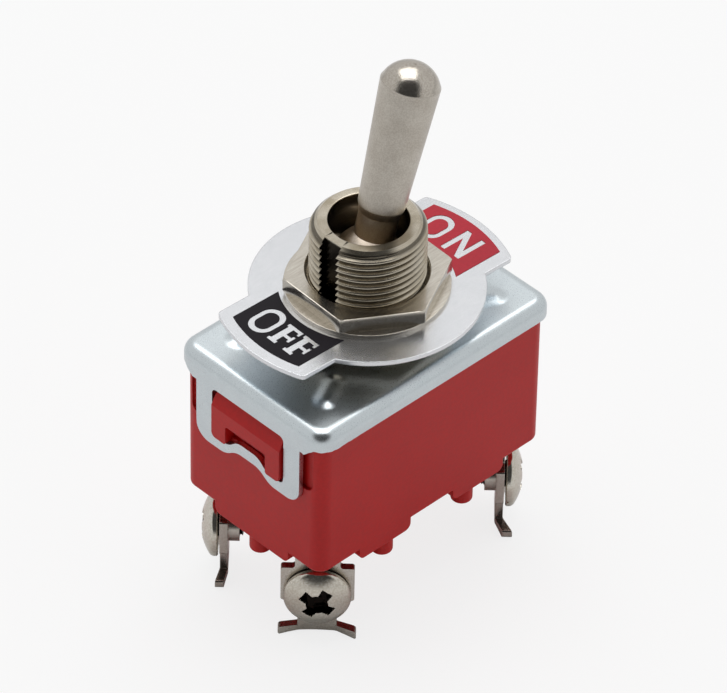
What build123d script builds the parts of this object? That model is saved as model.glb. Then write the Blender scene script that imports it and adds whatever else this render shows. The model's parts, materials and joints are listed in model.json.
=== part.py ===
from build123d import *

import os
from math import cos, radians, sin, sqrt

# A two-pole on/off toggle switch. A bat-handle lever tips on a pin in a threaded bushing. The bushing's
# flange is caught between a pressed zinc-plated cover and a moulded body, and two straps of the cover snap
# over catches on the body's ends. Inside, the lever's arm carries a crossbar with two sprung plungers. Each
# plunger slides along the valley of a rocker and tips it onto its fixed contact. Four flat terminals leave
# the corners of the body's floor, each with a binding screw. A label plate, marked ON and OFF, is clamped on
# the bushing by a hexagon nut.
#
# Everything is modelled from the cover's top face, with the bushing's axis as Z, and lifted at the end so
# that the switch stands on its terminals at Z = 0. X runs along the body, towards the ON mark, and Y across
# it. Lengths are in millimetres and angles in degrees.

# Moulded body
body_length = 31.6
body_width = 20.0
body_corner_radius = 1.5
body_edge_radius = 0.4
body_wall = 1.6
floor_thickness = 3.2

# Feet and studs under the body
foot_depth = 1.2
foot_round = 0.75
foot_corner_x = 5.6
foot_corner_y = 4.6
foot_middle_gap = 3.0
stud_radius = 1.15
stud_depth = 3.3
stud_round = 0.3
end_stud_inset = 1.3
side_stud_inset = 1.4
side_stud_x = 5.7

# Catch and channel on each end of the body
catch_half_width = 4.95
catch_top = 3.15
catch_bottom = 8.85
catch_proud = 0.95
catch_lip = 0.1
catch_ramp = 1.6
catch_slot_half_width = 2.9
catch_slot_top = 6.4
catch_corner_radius = 0.6
catch_slot_radius = 0.3
channel_depth = 0.35
channel_side_margin = 1.3
channel_end_margin = 0.55
channel_corner_radius = 1.0

# Sheet cover
sheet = 0.55
cover_gap = 0.06
bend_radius = 1.3
long_skirt = 2.2
short_skirt = 3.2
skirt_step_width = 1.2
skirt_step_margin = 0.6
strap_band = 2.3
strap_foot = 1.4
strap_rise = 1.2
strap_lobe_inner = 3.3
strap_middle = 1.6
strap_corner_radius = 1.8
window_clearance = 0.25
window_foot_clearance = 0.2
window_lobe_clearance = 0.1
window_middle = 1.5
window_corner_radius = 0.6
strap_wave_radius = 2.4
window_wave_radius = 1.7
small_corner = 0.4
rib_angle = 28.3
rib_start = 9.0
rib_end = 14.6
rib_width = 2.3
rib_height = 0.35
rib_round = 0.3

# Threaded bushing
thread_radius = 5.95
thread_half_depth = 0.25
bushing_top = 12.95
bushing_bevel = 0.85
bushing_wall = 1.85
bushing_mouth_chamfer = 0.15
bushing_flange_margin = 1.05
bushing_flange_thickness = 1.2
bushing_flare = 0.4
bushing_flare_depth = 3.2
keyway_width = 2.3
keyway_depth = 0.9
keyway_turn = 2.0

# Nuts, washers and label plate, stacked on the bushing
thread_clearance = 0.05
back_nut_bottom = 1.5
nut_thickness = 1.68
nut_wall = 1.75
nut_chamfer = 0.35
back_nut_turn = 8.0
face_nut_turn = -32.7
countersink = 0.32
lock_washer_reach = 2.4
lock_washer_height = 0.79
lock_washer_sheet = 0.5
lock_washer_band = 1.1
lock_tooth_count = 12
lock_tooth_width = 1.3
lock_tooth_twist = 12.0
plate_thickness = 0.5
plate_radius = 12.0
plate_turn = -2.1
tab_half_width = 6.45
on_tab_radius = 15.2
off_tab_radius = 15.6
tab_corner_radius = 0.5
key_width = 1.3
key_clearance = 0.15
face_washer_reach = 2.45
face_washer_thickness = 0.4
washer_edge = 0.08

# Print on the label plate
print_thickness = 0.05
field_inner_margin = 0.55
field_outer_margin = 0.8
field_side_margin = 1.5
letter_field_margin = 1.3
letter_bar = 0.46
letter_serif = 0.25
letter_hook = 0.38
letter_hook_drop = 0.3
letter_gap = 0.24
off_letter_margin = 1.0
on_letter_margin = 0.25
letter_o_width = 2.85
letter_o_side = 0.56
letter_o_end = 0.66
letter_f_width = 2.1
letter_f_stem = 0.78
letter_f_lift = 0.33
letter_f_head = 0.57
letter_n_width = 2.7
letter_n_stroke = 0.64
letter_n_lift = 0.3
off_word_left = -3.7
off_first_gap = 0.38
on_word_left = -3.6
on_first_gap = 1.1

# Lever, measured along its own axis from the pivot
pivot_height = 7.5
lever_throw = 30.8
ball_clearance = 0.3
neck_radius = 1.9
neck_end = 5.7
shoulder_radius = 2.42
shoulder_end = 6.6
bat_radius = 3.07
bat_end = 20.0
bat_edge = 0.4
dome_radius = 3.2
dome_middle_angle = 30.0
lever_length = 22.7
pip_radius = 0.3
pip_height = 0.08
arm_radius = 1.6
arm_end_margin = 1.0

# Pivot pin and its retaining ring
pin_radius = 0.9
pin_cover = 1.05
pin_clearance = 0.05
pin_end_chamfer = 0.15
retainer_wall = 1.05
retainer_drop = 2.8
retainer_height = 1.2
retainer_clearance = 0.05
retainer_overlap = 1.0

# Crossbar, plungers and springs
pole_offset = 4.6
carrier_clearance = 0.33
carrier_half_length = 2.4
carrier_wall = 0.7
carrier_edge = 0.4
plunger_radius = 1.3
plunger_clearance = 0.06
plunger_length = 4.03
plunger_show = 1.68
plunger_socket_roof = 0.75
spring_room = 2.8
spring_wire = 0.4
spring_coil_radius = 0.95
spring_turns = 4.0

# Rockers and contacts
tip_rise = 2.72
fulcrum_rise = 1.35
fulcrum_radius = 0.45
fulcrum_clearance = 0.05
rocker_throw = 16.0
rocker_sheet = 0.9
rocker_width = 3.2
rocker_boss_half = 1.2
rocker_arm_margin = 0.2
valley_clearance = 0.12
valley_half = 5.6
contact_reach = 8.2
contact_height = 0.65
contact_thickness = 0.6
contact_radius = 1.3
contact_crown = 5.0
contact_gap = 0.05
fixed_contact_radius = 1.4

# Terminals, the front contact terminal as the pattern
strip_width = 3.0
strip_margin = 0.2
terminal_inset_x = 2.44
terminal_inset_y = 2.79
terminal_turn = 45.0
terminal_sheet = 0.85
neck_half_width = 2.3
neck_clearance = 0.05
link_margin = 0.5
shoulder_drop = 1.0
shoulder_half_width = 3.75
shoulder_corner = 0.3
shoulder_below_screw = 0.95
waist_half_width = 2.0
waist_slope = 0.95
tail_head_margin = 1.1
tail_height = 0.95
tail_half_width = 4.0
tail_hollow = 0.35
tail_corner = 0.3
tail_bend_start = 1.9
tail_bend_outer = 1.0
tail_bend_inner = 0.45
tail_bend_round = 1.2

# Binding screws
screw_drop = 3.3
screw_radius = 1.45
screw_clearance = 0.05
screw_length = 2.4
screw_head_radius = 3.45
screw_head_gap = 0.2
screw_head_rim = 0.7
screw_head_edge = 0.35
screw_dome = 1.1
recess_reach = 1.85
recess_root = 0.6
recess_depth = 1.0
recess_sag = 0.3
recess_width = 1.0
recess_core = 1.15
collar_radius = 1.85
collar_length = 1.15
screw_turns = {
    "contact_screw_front": 10.0,
    "contact_screw_rear": -24.0,
    "common_screw_front": 31.0,
    "common_screw_rear": -3.0,
}

# How far a cutting tool runs past what it cuts
overrun = 1.0

# Throws in radians, as half of each side's travel
half_throw = radians(lever_throw / 2)
half_rock = radians(rocker_throw / 2)

# Cover, channel and window, from the body and its catch
cavity_half_length = body_length / 2 - body_wall
cavity_half_width = body_width / 2 - body_wall
cover_length = body_length + 2 * (cover_gap + sheet)
cover_width = body_width + 2 * (cover_gap + sheet)
cover_corner_radius = body_corner_radius + cover_gap + sheet
window_half_width = catch_half_width + window_clearance
window_top = catch_top - window_clearance
window_bottom = catch_bottom + window_foot_clearance
window_lobe_inner = catch_slot_half_width - window_lobe_clearance
strap_half_width = window_half_width + strap_band
strap_depth = window_bottom + strap_foot
channel_half_width = strap_half_width + channel_side_margin
channel_bottom = catch_bottom - channel_end_margin
skirt_step_inner = strap_half_width + skirt_step_margin
skirt_step_outer = skirt_step_inner + skirt_step_width

# The stack on the bushing, from the back nut up
thread_bore = thread_radius + thread_clearance
thread_pitch_radius = thread_radius - thread_half_depth
nut_bore = thread_pitch_radius + thread_clearance
nut_width = 2 * (nut_bore + nut_wall)
bushing_bore = thread_radius - bushing_wall
lock_washer_radius = thread_bore + lock_washer_reach
face_washer_radius = thread_bore + face_washer_reach
flange_bottom = -sheet - bushing_flange_thickness
back_nut_top = back_nut_bottom + nut_thickness
plate_bottom = back_nut_top + lock_washer_height
plate_top = plate_bottom + plate_thickness
face_nut_bottom = plate_top + face_washer_thickness
face_nut_top = face_nut_bottom + nut_thickness
field_inner_radius = face_washer_radius + field_inner_margin
field_outer_radius = on_tab_radius - field_outer_margin
field_half_width = tab_half_width - field_side_margin
letter_height = field_outer_radius - field_inner_radius - letter_field_margin

# The lever's chain, from the pivot down to the body's floor
ball_radius = bushing_bore - ball_clearance
pin_length = 2 * (thread_radius - pin_cover)
retainer_top = pivot_height - retainer_drop
retainer_bore = bushing_bore - retainer_clearance - retainer_wall
carrier_half_width = pole_offset + plunger_radius + carrier_wall
carrier_swing = carrier_half_length * sin(half_throw)
carrier_top = (pivot_height - flange_bottom + carrier_clearance + carrier_swing) / cos(half_throw)
plunger_socket_top = carrier_top + plunger_socket_roof
plunger_top = plunger_socket_top + spring_room
plunger_reach = plunger_top + plunger_length
carrier_bottom = plunger_reach - plunger_show
arm_length = carrier_bottom - arm_end_margin
fulcrum_height = pivot_height - plunger_reach - tip_rise
strip_top = fulcrum_height - fulcrum_rise
strip_bottom = strip_top - terminal_sheet
floor_top = strip_bottom
body_depth = floor_thickness - floor_top

# Terminals and screws, from the body's floor and corners
foot_bottom = -body_depth - foot_depth
terminal_x = body_length / 2 - terminal_inset_x
terminal_y = body_width / 2 - terminal_inset_y
shoulder_top = foot_bottom - shoulder_drop
screw_height = shoulder_top - screw_drop
shoulder_bottom = screw_height - shoulder_below_screw
waist_top = shoulder_bottom - waist_slope
tail_top = screw_height - screw_head_radius - tail_head_margin
tail_bottom = tail_top - tail_height
stand_height = -tail_bottom


def block(low, high):
    """Return the box between two opposite corners."""
    size = [b - a for a, b in zip(low, high)]
    middle = [(a + b) / 2 for a, b in zip(low, high)]
    return Pos(*middle) * Box(*size)


def drum(radius, bottom, top):
    """Return an upright cylinder on the Z axis between two heights."""
    return Pos(0, 0, (bottom + top) / 2) * Cylinder(radius, top - bottom)


def rounded_block(length, width, radius, bottom, top):
    """Return a centred box with rounded upright edges."""
    box = block((-length / 2, -width / 2, bottom), (length / 2, width / 2, top))
    return fillet(box.edges().filter_by(Axis.Z), radius)


def outline(points, rounded=()):
    """Return the face inside a closed outline. Each rounded entry is a corner and its radius."""
    face = make_face(Polyline(*points, close=True))
    for corner, radius in rounded:
        nearest = face.vertices().sort_by_distance((*corner, 0))[0]
        face = fillet(nearest, radius)
    return face


def mirrored_points(half):
    """Return a symmetric outline, given its half with positive first values from top to bottom."""
    return [*half, *((-x, y) for x, y in reversed(half))]


def both_sides(corners):
    """Return rounded-corner entries together with their mirror images."""
    return [((sign * x, y), radius) for (x, y), radius in corners for sign in (1, -1)]


def along_x(face, start, end):
    """Return a face drawn in Y and Z, extruded along X between two places."""
    return extrude(Plane.YZ.offset(start) * face, end - start)


def along_y(face, middle, width):
    """Return a face drawn in X and Z, extruded along Y by half the width each way."""
    return Pos(0, middle, 0) * extrude(Plane.XZ * face, width / 2, both=True)


def four_corners(shape):
    """Return a shape of the corner at low X and low Y together with its three mirror images."""
    pair = [shape, mirror(shape, about=Plane.YZ)]
    return pair + [mirror(item, about=Plane.XZ) for item in pair]


def long_side_foot():
    """Return one of the feet under a long wall, at low X and low Y."""
    outer = body_length / 2 - foot_corner_x
    length = outer - foot_middle_gap
    top = -body_depth + foot_round
    corners = [(-length / 2, top), (-length / 2, foot_bottom), (length / 2, foot_bottom), (length / 2, top)]
    face = outline(corners, [(corners[1], foot_round), (corners[2], foot_round)])
    foot = along_y(face, -body_width / 2 + body_wall / 2, body_wall)
    return Pos(-foot_middle_gap - length / 2, 0, 0) * foot


def short_side_foot():
    """Return the foot under the short wall at low X."""
    side = body_width / 2 - foot_corner_y
    half = [(side, -body_depth + foot_round), (side, foot_bottom)]
    face = outline(mirrored_points(half), both_sides([(half[1], foot_round)]))
    return along_x(face, -body_length / 2, -body_length / 2 + body_wall)


def stud(x, y):
    """Return a round stud under the body."""
    pillar = drum(stud_radius, -body_depth - stud_depth, -body_depth + foot_round)
    tip = pillar.edges().sort_by(Axis.Z)[0]
    return Pos(x, y, 0) * fillet(tip, stud_round)


def catch():
    """Return the wedge at the low X end that a strap of the cover snaps over."""
    root = -body_length / 2 + channel_depth + catch_lip
    face_x = -body_length / 2
    tip = face_x - catch_proud
    points = [
        (root, -catch_top),
        (face_x - catch_lip, -catch_top),
        (tip, -catch_top - catch_ramp),
        (tip, -catch_bottom),
        (root, -catch_bottom),
    ]
    wedge = along_y(outline(points), 0, 2 * catch_half_width)
    half = [
        (catch_half_width, -catch_top),
        (catch_half_width, -catch_bottom),
        (catch_slot_half_width, -catch_bottom),
        (catch_slot_half_width, -catch_slot_top),
    ]
    rounded = [
        (half[0], catch_corner_radius),
        (half[1], catch_corner_radius),
        (half[2], catch_slot_radius),
        (half[3], catch_slot_radius),
    ]
    face = outline(mirrored_points(half), both_sides(rounded))
    return wedge & along_x(face, tip - overrun, root + overrun)


def neck_slots():
    """Return the four slots that the terminals' necks need through the floor and walls."""
    across = neck_half_width + neck_clearance
    slot = block(
        (-across, -neck_clearance, -body_depth - overrun),
        (across, terminal_sheet + neck_clearance, strip_top + neck_clearance),
    )
    return four_corners(at_terminal(slot))


def housing():
    """Return the moulded body with its cavity, feet, studs, channels and catches."""
    body = rounded_block(body_length, body_width, body_corner_radius, -body_depth, -sheet)
    body = fillet(body.faces().sort_by(Axis.Z)[-1].edges(), bend_radius - sheet + cover_gap)
    body = fillet(body.faces().sort_by(Axis.Z)[0].edges(), body_edge_radius)
    body -= block(
        (-cavity_half_length, -cavity_half_width, floor_top),
        (cavity_half_length, cavity_half_width, 0),
    )
    feet = four_corners(long_side_foot()) + [short_side_foot(), mirror(short_side_foot(), about=Plane.YZ)]
    studs = four_corners(stud(-side_stud_x, -body_width / 2 + side_stud_inset))
    end_stud_x = body_length / 2 - end_stud_inset
    studs += [stud(-end_stud_x, 0), stud(end_stud_x, 0)]
    for piece in feet + studs:
        body += piece
    channel_half = [(channel_half_width, 0), (channel_half_width, -channel_bottom)]
    channel_face = outline(
        mirrored_points(channel_half),
        both_sides([(channel_half[1], channel_corner_radius)]),
    )
    channel = along_x(channel_face, -body_length, -body_length / 2 + channel_depth)
    body = body - channel - mirror(channel, about=Plane.YZ)
    lug = extended_catch()
    body = body + lug + mirror(lug, about=Plane.YZ)
    for slot in neck_slots():
        body -= slot
    return body


def extended_catch():
    """Return the catch with a root that reaches into the end wall."""
    root = block(
        (-body_length / 2, -catch_half_width, -catch_slot_top),
        (-body_length / 2 + channel_depth + catch_lip, catch_half_width, -catch_top),
    )
    return catch() + root


def skirt_mask():
    """Return the solid that trims the cover's skirt and straps, seen along X."""
    side = cover_width
    half = [
        (side, overrun),
        (side, -long_skirt),
        (skirt_step_outer, -long_skirt),
        (skirt_step_inner, -short_skirt),
        (strap_half_width, -short_skirt),
        (strap_half_width, -strap_depth),
        (strap_lobe_inner, -strap_depth),
        (strap_middle, -strap_depth + strap_rise),
    ]
    rounded = [
        (half[2], small_corner),
        (half[5], strap_corner_radius),
        (half[6], strap_wave_radius),
        (half[7], strap_wave_radius),
    ]
    face = outline(mirrored_points(half), both_sides(rounded))
    return along_x(face, -cover_length, cover_length)


def strap_windows():
    """Return the solid that opens the windows in both straps."""
    half = [
        (window_half_width, -window_top),
        (window_half_width, -window_bottom),
        (window_lobe_inner, -window_bottom),
        (window_middle, -window_bottom + strap_rise),
    ]
    rounded = [
        (half[0], window_corner_radius),
        (half[1], window_corner_radius),
        (half[2], window_wave_radius),
        (half[3], window_wave_radius),
    ]
    face = outline(mirrored_points(half), both_sides(rounded))
    return along_x(face, -cover_length, cover_length)


def rib_block(width, height, edge, base):
    """Return a bar with round ends along X, standing on a level, with its top edge rounded."""
    length = rib_end - rib_start - rib_width + width
    shape = Pos((rib_start + rib_end) / 2, 0, base) * SlotOverall(length, width)
    bar = extrude(shape, height)
    return fillet(bar.faces().sort_by(Axis.Z)[-1].edges(), edge)


def cover_shell():
    """Return the pressed cover with its straps, windows, ribs and bushing hole."""
    outer = rounded_block(cover_length, cover_width, cover_corner_radius, -strap_depth - overrun, 0)
    outer = fillet(outer.faces().sort_by(Axis.Z)[-1].edges(), bend_radius)
    inner = rounded_block(
        cover_length - 2 * sheet,
        cover_width - 2 * sheet,
        cover_corner_radius - sheet,
        -strap_depth - 2 * overrun,
        -sheet,
    )
    inner = fillet(inner.faces().sort_by(Axis.Z)[-1].edges(), bend_radius - sheet)
    shell = (outer - inner) & skirt_mask()
    shell -= strap_windows()
    shell -= drum(thread_bore, -sheet - overrun, overrun)
    ridge = rib_block(rib_width, rib_height + sheet / 2, rib_round, -sheet / 2)
    groove = rib_block(rib_width - 2 * rib_height, rib_height, rib_round / 2, -sheet)
    for angle in (rib_angle, -rib_angle, 180 - rib_angle, 180 + rib_angle):
        shell += Rot(0, 0, angle) * ridge
        shell -= Rot(0, 0, angle) * groove
    return shell


def pin_slot():
    """Return the slot across the bushing that the pivot pin enters from below."""
    half_width = pin_radius + pin_clearance
    half_length = pin_length / 2 + pin_clearance
    straight = block(
        (-half_width, -half_length, flange_bottom - overrun),
        (half_width, half_length, pivot_height),
    )
    crown = Pos(0, 0, pivot_height) * Rot(90, 0, 0) * Cylinder(half_width, 2 * half_length)
    return straight + crown


def nut_seat(bottom):
    """Return the ring that lowers the bushing's crest to the pitch line where a nut has engaged it."""
    top = bottom + nut_thickness
    return drum(thread_radius + overrun, bottom, top) - drum(thread_pitch_radius, bottom, top)


def bushing():
    """Return the bushing with its flange, bore, keyway and pin slot, and its seam inside the keyway."""
    mouth = bushing_bore + bushing_mouth_chamfer
    profile = [
        (bushing_bore + bushing_flare, flange_bottom),
        (thread_radius + bushing_flange_margin, flange_bottom),
        (thread_radius + bushing_flange_margin, -sheet),
        (thread_radius, -sheet),
        (thread_radius, bushing_top - bushing_bevel),
        (thread_radius - bushing_bevel, bushing_top),
        (mouth, bushing_top),
        (bushing_bore, bushing_top - bushing_mouth_chamfer),
        (bushing_bore, flange_bottom + bushing_flare_depth),
    ]
    body = Rot(0, 0, 180) * revolve(Plane.XZ * outline(profile), Axis.Z)
    body -= [nut_seat(back_nut_bottom), nut_seat(face_nut_bottom)]
    keyway = block(
        (-2 * thread_radius, -keyway_width / 2, 0),
        (keyway_depth - thread_radius, keyway_width / 2, bushing_top + overrun),
    )
    return body - Rot(0, 0, keyway_turn) * keyway - pin_slot()


def hexagon_nut(bottom, turn):
    """Return a hexagon nut with its corners turned down on both faces and its bore on the pitch line."""
    corner_radius = nut_width / sqrt(3)
    hexagon = Rot(0, 0, turn) * RegularPolygon(corner_radius, 6)
    prism = Pos(0, 0, bottom) * extrude(hexagon, nut_thickness)
    top = bottom + nut_thickness
    inner = corner_radius - 2 * nut_chamfer
    profile = [
        (0, bottom),
        (inner, bottom),
        (corner_radius, bottom + nut_chamfer),
        (corner_radius, top - nut_chamfer),
        (inner, top),
        (0, top),
    ]
    envelope = revolve(Plane.XZ * outline(profile), Axis.Z)
    return (prism & envelope) - drum(nut_bore, bottom - overrun, top + overrun)


def back_nut():
    """Return the nut under the label plate, which sets the depth in a panel."""
    return hexagon_nut(back_nut_bottom, back_nut_turn)


def face_nut():
    """Return the nut on top of the stack, with a countersink at its thread."""
    nut = hexagon_nut(face_nut_bottom, face_nut_turn)
    outer = thread_bore + countersink
    depth = outer - nut_bore
    points = [
        (0, face_nut_top - depth),
        (nut_bore, face_nut_top - depth),
        (outer, face_nut_top),
        (outer, face_nut_top + overrun),
        (0, face_nut_top + overrun),
    ]
    return nut - revolve(Plane.XZ * outline(points), Axis.Z)


def face_washer():
    """Return the flat washer between the label plate and the face nut."""
    disc = drum(face_washer_radius, plate_top, face_nut_bottom)
    disc = fillet(disc.faces().sort_by(Axis.Z)[-1].edges(), washer_edge)
    return disc - drum(thread_bore, plate_top - overrun, face_nut_bottom + overrun)


def lock_washer():
    """Return the internal-tooth lock washer, with its teeth twisted out of the ring's plane."""
    middle = back_nut_top + lock_washer_height / 2
    bottom = middle - lock_washer_sheet / 2
    top = middle + lock_washer_sheet / 2
    inner = lock_washer_radius - lock_washer_band
    ring = drum(lock_washer_radius, bottom, top) - drum(inner, bottom - overrun, top + overrun)
    length = inner - thread_bore + lock_washer_band / 2
    tooth = Pos(thread_bore + length / 2, 0, middle) * Rot(lock_tooth_twist, 0, 0) * Box(
        length, lock_tooth_width, lock_washer_sheet
    )
    for index in range(lock_tooth_count):
        ring += Rot(0, 0, index * 360 / lock_tooth_count) * tooth
    return ring - drum(thread_bore, back_nut_top - overrun, plate_bottom + overrun)


def label_tab(radius, side):
    """Return one tab of the label plate, bounded by an arc, as a flat face."""
    band = Pos(side * radius / 2, 0) * Rectangle(radius, 2 * tab_half_width)
    face = Circle(radius) & band
    corner_x = side * sqrt(radius**2 - tab_half_width**2)
    for corner_y in (tab_half_width, -tab_half_width):
        nearest = face.vertices().sort_by_distance((corner_x, corner_y, 0))[0]
        face = fillet(nearest, tab_corner_radius)
    return face


def label_plate():
    """Return the label plate with its two tabs, bore and key."""
    face = Circle(plate_radius) + label_tab(on_tab_radius, 1) + label_tab(off_tab_radius, -1)
    face -= Circle(thread_bore)
    key_tip = thread_radius - keyway_depth + key_clearance
    key_root = thread_bore + key_width / 2
    face += Pos(-(key_tip + key_root) / 2, 0) * Rectangle(key_root - key_tip, key_width)
    return Pos(0, 0, plate_bottom) * Rot(0, 0, plate_turn) * extrude(face, plate_thickness)


def letter_o(left, base):
    """Return the letter O as a ring with straight sides."""
    middle = Pos(left + letter_o_width / 2, base + letter_height / 2)
    outer = SlotOverall(letter_height, letter_o_width, rotation=90)
    inner = SlotOverall(
        letter_height - 2 * letter_o_end,
        letter_o_width - 2 * letter_o_side,
        rotation=90,
    )
    return middle * (outer - inner)


def letter_f(left, base):
    """Return the letter F with a slab foot and a hook at the end of each bar."""
    foot = base + letter_f_lift
    top = base + letter_height - letter_f_head
    stem = left + letter_serif
    stem_end = stem + letter_f_stem
    foot_end = stem_end + letter_serif
    low = (foot + top - letter_bar) / 2
    high = low + letter_bar
    right = left + letter_f_width
    hook = right - letter_hook
    points = [
        (left, foot),
        (foot_end, foot),
        (foot_end, foot + letter_bar),
        (stem_end, foot + letter_bar),
        (stem_end, low),
        (hook, low),
        (hook, low - letter_hook_drop),
        (right, low - letter_hook_drop),
        (right, high + letter_hook_drop),
        (hook, high + letter_hook_drop),
        (hook, high),
        (stem_end, high),
        (stem_end, top - letter_bar),
        (hook, top - letter_bar),
        (hook, top - letter_bar - letter_hook_drop),
        (right, top - letter_bar - letter_hook_drop),
        (right, top),
        (left, top),
        (left, top - letter_bar),
        (stem, top - letter_bar),
        (stem, foot + letter_bar),
        (left, foot + letter_bar),
    ]
    return outline(points)


def letter_n(left, base):
    """Return the letter N with two stems and a diagonal."""
    foot = base + letter_n_lift
    top = base + letter_height
    right = left + letter_n_width
    drop = 2 * letter_n_stroke
    points = [
        (left, foot),
        (left + letter_n_stroke, foot),
        (left + letter_n_stroke, top - drop),
        (right - letter_n_stroke, foot),
        (right, foot),
        (right, top),
        (right - letter_n_stroke, top),
        (right - letter_n_stroke, foot + drop),
        (left + letter_n_stroke, top),
        (left, top),
    ]
    return outline(points)


def printed_field(side, letters):
    """Return a coloured field on one side of the label plate, with the letters left bare."""
    face = Circle(field_outer_radius) - Circle(field_inner_radius)
    reach = field_outer_radius
    face &= Pos(side * reach / 2, 0) * Rectangle(reach, 2 * field_half_width)
    for letter in letters:
        face -= Rot(0, 0, -90) * letter
    ink = extrude(face, print_thickness)
    return Pos(0, 0, plate_top) * Rot(0, 0, plate_turn) * ink


def off_print():
    """Return the dark field with the word OFF."""
    base = off_letter_margin - field_outer_radius
    first_f = off_word_left + letter_o_width + off_first_gap
    second_f = first_f + letter_f_width + letter_gap
    letters = [letter_o(off_word_left, base), letter_f(first_f, base), letter_f(second_f, base)]
    return printed_field(-1, letters)


def on_print():
    """Return the red field with the word ON."""
    base = field_inner_radius + on_letter_margin
    letter_n_left = on_word_left + letter_o_width + on_first_gap
    letters = [letter_o(on_word_left, base), letter_n(letter_n_left, base)]
    return printed_field(1, letters)


def on_lever(shape):
    """Place a shape drawn with the lever's axis as Z and its pivot at the origin."""
    return Pos(0, 0, pivot_height) * Rot(0, lever_throw / 2, 0) * shape


def lever():
    """Return the bat handle, ball and arm, turned as one piece, with the hole for its pin."""
    dome_centre = lever_length - dome_radius
    dome_start = dome_centre + sqrt(dome_radius**2 - (bat_radius - bat_edge / 2) ** 2)
    slope = (bat_radius - shoulder_radius) / (bat_end - shoulder_end)
    edge = [
        (neck_radius, 0),
        (neck_radius, neck_end),
        (shoulder_radius, shoulder_end),
        (bat_radius + slope * (dome_start - bat_edge - bat_end), dome_start - bat_edge),
        (bat_radius - bat_edge / 2, dome_start),
    ]
    apex = (0, lever_length)
    axis_foot = (0, 0)
    turn = radians(dome_middle_angle)
    crown_middle = (dome_radius * sin(turn), dome_centre + dome_radius * cos(turn))
    side = Polyline(axis_foot, *edge)
    crown = ThreePointArc(edge[-1], crown_middle, apex)
    section = make_face([side, crown, Line(apex, axis_foot)])
    nearest = section.vertices().sort_by_distance((neck_radius, neck_end, 0))[0]
    section = fillet(nearest, shoulder_radius - neck_radius)
    handle = revolve(Plane.XZ * section, Axis.Z)
    shape = handle + Sphere(ball_radius) + drum(arm_radius, -arm_length, 0)
    shape += drum(pip_radius, lever_length - pip_height, lever_length + pip_height)
    shape -= Rot(90, 0, 0) * Cylinder(pin_radius + pin_clearance, 3 * ball_radius)
    return on_lever(shape)


def pivot_pin():
    """Return the pin that the lever turns on."""
    pin = Cylinder(pin_radius, pin_length)
    pin = chamfer(pin.edges().filter_by(GeomType.CIRCLE), pin_end_chamfer)
    return Pos(0, 0, pivot_height) * Rot(90, 0, 0) * pin


def pin_retainer():
    """Return the ring pressed into the bushing, with two lugs that hold the pin up."""
    radius = bushing_bore - retainer_clearance
    ring = drum(radius, retainer_top - retainer_height, retainer_top)
    ring -= drum(retainer_bore, retainer_top - retainer_height - overrun, retainer_top + overrun)
    lug = block(
        (-pin_radius, radius - retainer_overlap / 2, retainer_top - retainer_height),
        (pin_radius, pin_length / 2, retainer_top),
    )
    post = block(
        (-pin_radius, bushing_bore + retainer_clearance, retainer_top - retainer_height),
        (pin_radius, pin_length / 2, pivot_height - pin_radius - pin_clearance),
    )
    hold = lug + post
    return ring + hold + mirror(hold, about=Plane.XZ)


def carrier():
    """Return the moulded crossbar on the lever's arm, with a socket for each plunger."""
    bar = block(
        (-carrier_half_length, -carrier_half_width, -carrier_bottom),
        (carrier_half_length, carrier_half_width, -carrier_top),
    )
    bar = fillet(bar.edges().filter_by(Axis.Z), carrier_edge)
    bar -= drum(arm_radius + pin_clearance, -arm_length - pin_clearance, 0)
    socket = drum(plunger_radius + plunger_clearance, -carrier_bottom - overrun, -plunger_socket_top)
    bar -= Pos(0, pole_offset, 0) * socket
    bar -= Pos(0, -pole_offset, 0) * socket
    return on_lever(bar)


def plunger(side):
    """Return the plunger of one pole, with a round tip."""
    body = drum(plunger_radius, -plunger_reach, -plunger_top)
    tip = Pos(0, 0, -plunger_reach) * Sphere(plunger_radius)
    return on_lever(Pos(0, side * pole_offset, 0) * (body + tip))


def plunger_spring(side):
    """Return the coil spring behind one plunger."""
    height = spring_room - 2 * spring_wire
    path = Helix(height / spring_turns, height, spring_coil_radius)
    start = Plane(origin=path @ 0, z_dir=path % 0)
    coil = sweep(start * Circle(spring_wire / 2), path=path, is_frenet=True)
    return on_lever(Pos(0, side * pole_offset, -plunger_top + spring_wire) * coil)


def rocker_place(shape, side):
    """Place a shape drawn from the fulcrum line, with the rocker level, at its rest tilt."""
    return Pos(0, side * pole_offset, fulcrum_height) * Rot(0, -rocker_throw / 2, 0) * shape


def valley_path():
    """Return the height of the centre, and the radius, of the arc that a plunger's tip follows.

    The tip swings about the lever's pivot while the rocker turns under it. Seen from the rocker, the tip
    passes through its middle place and its end place, and an arc through both follows its path closely.
    """
    height = pivot_height - fulcrum_height
    middle = height - plunger_reach
    swing_x = -plunger_reach * sin(half_throw)
    swing_z = height - plunger_reach * cos(half_throw)
    end_x = swing_x * cos(half_rock) + swing_z * sin(half_rock)
    end_z = swing_z * cos(half_rock) - swing_x * sin(half_rock)
    centre = (end_x**2 + end_z**2 - middle**2) / (2 * (end_z - middle))
    return centre, centre - middle


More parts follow.
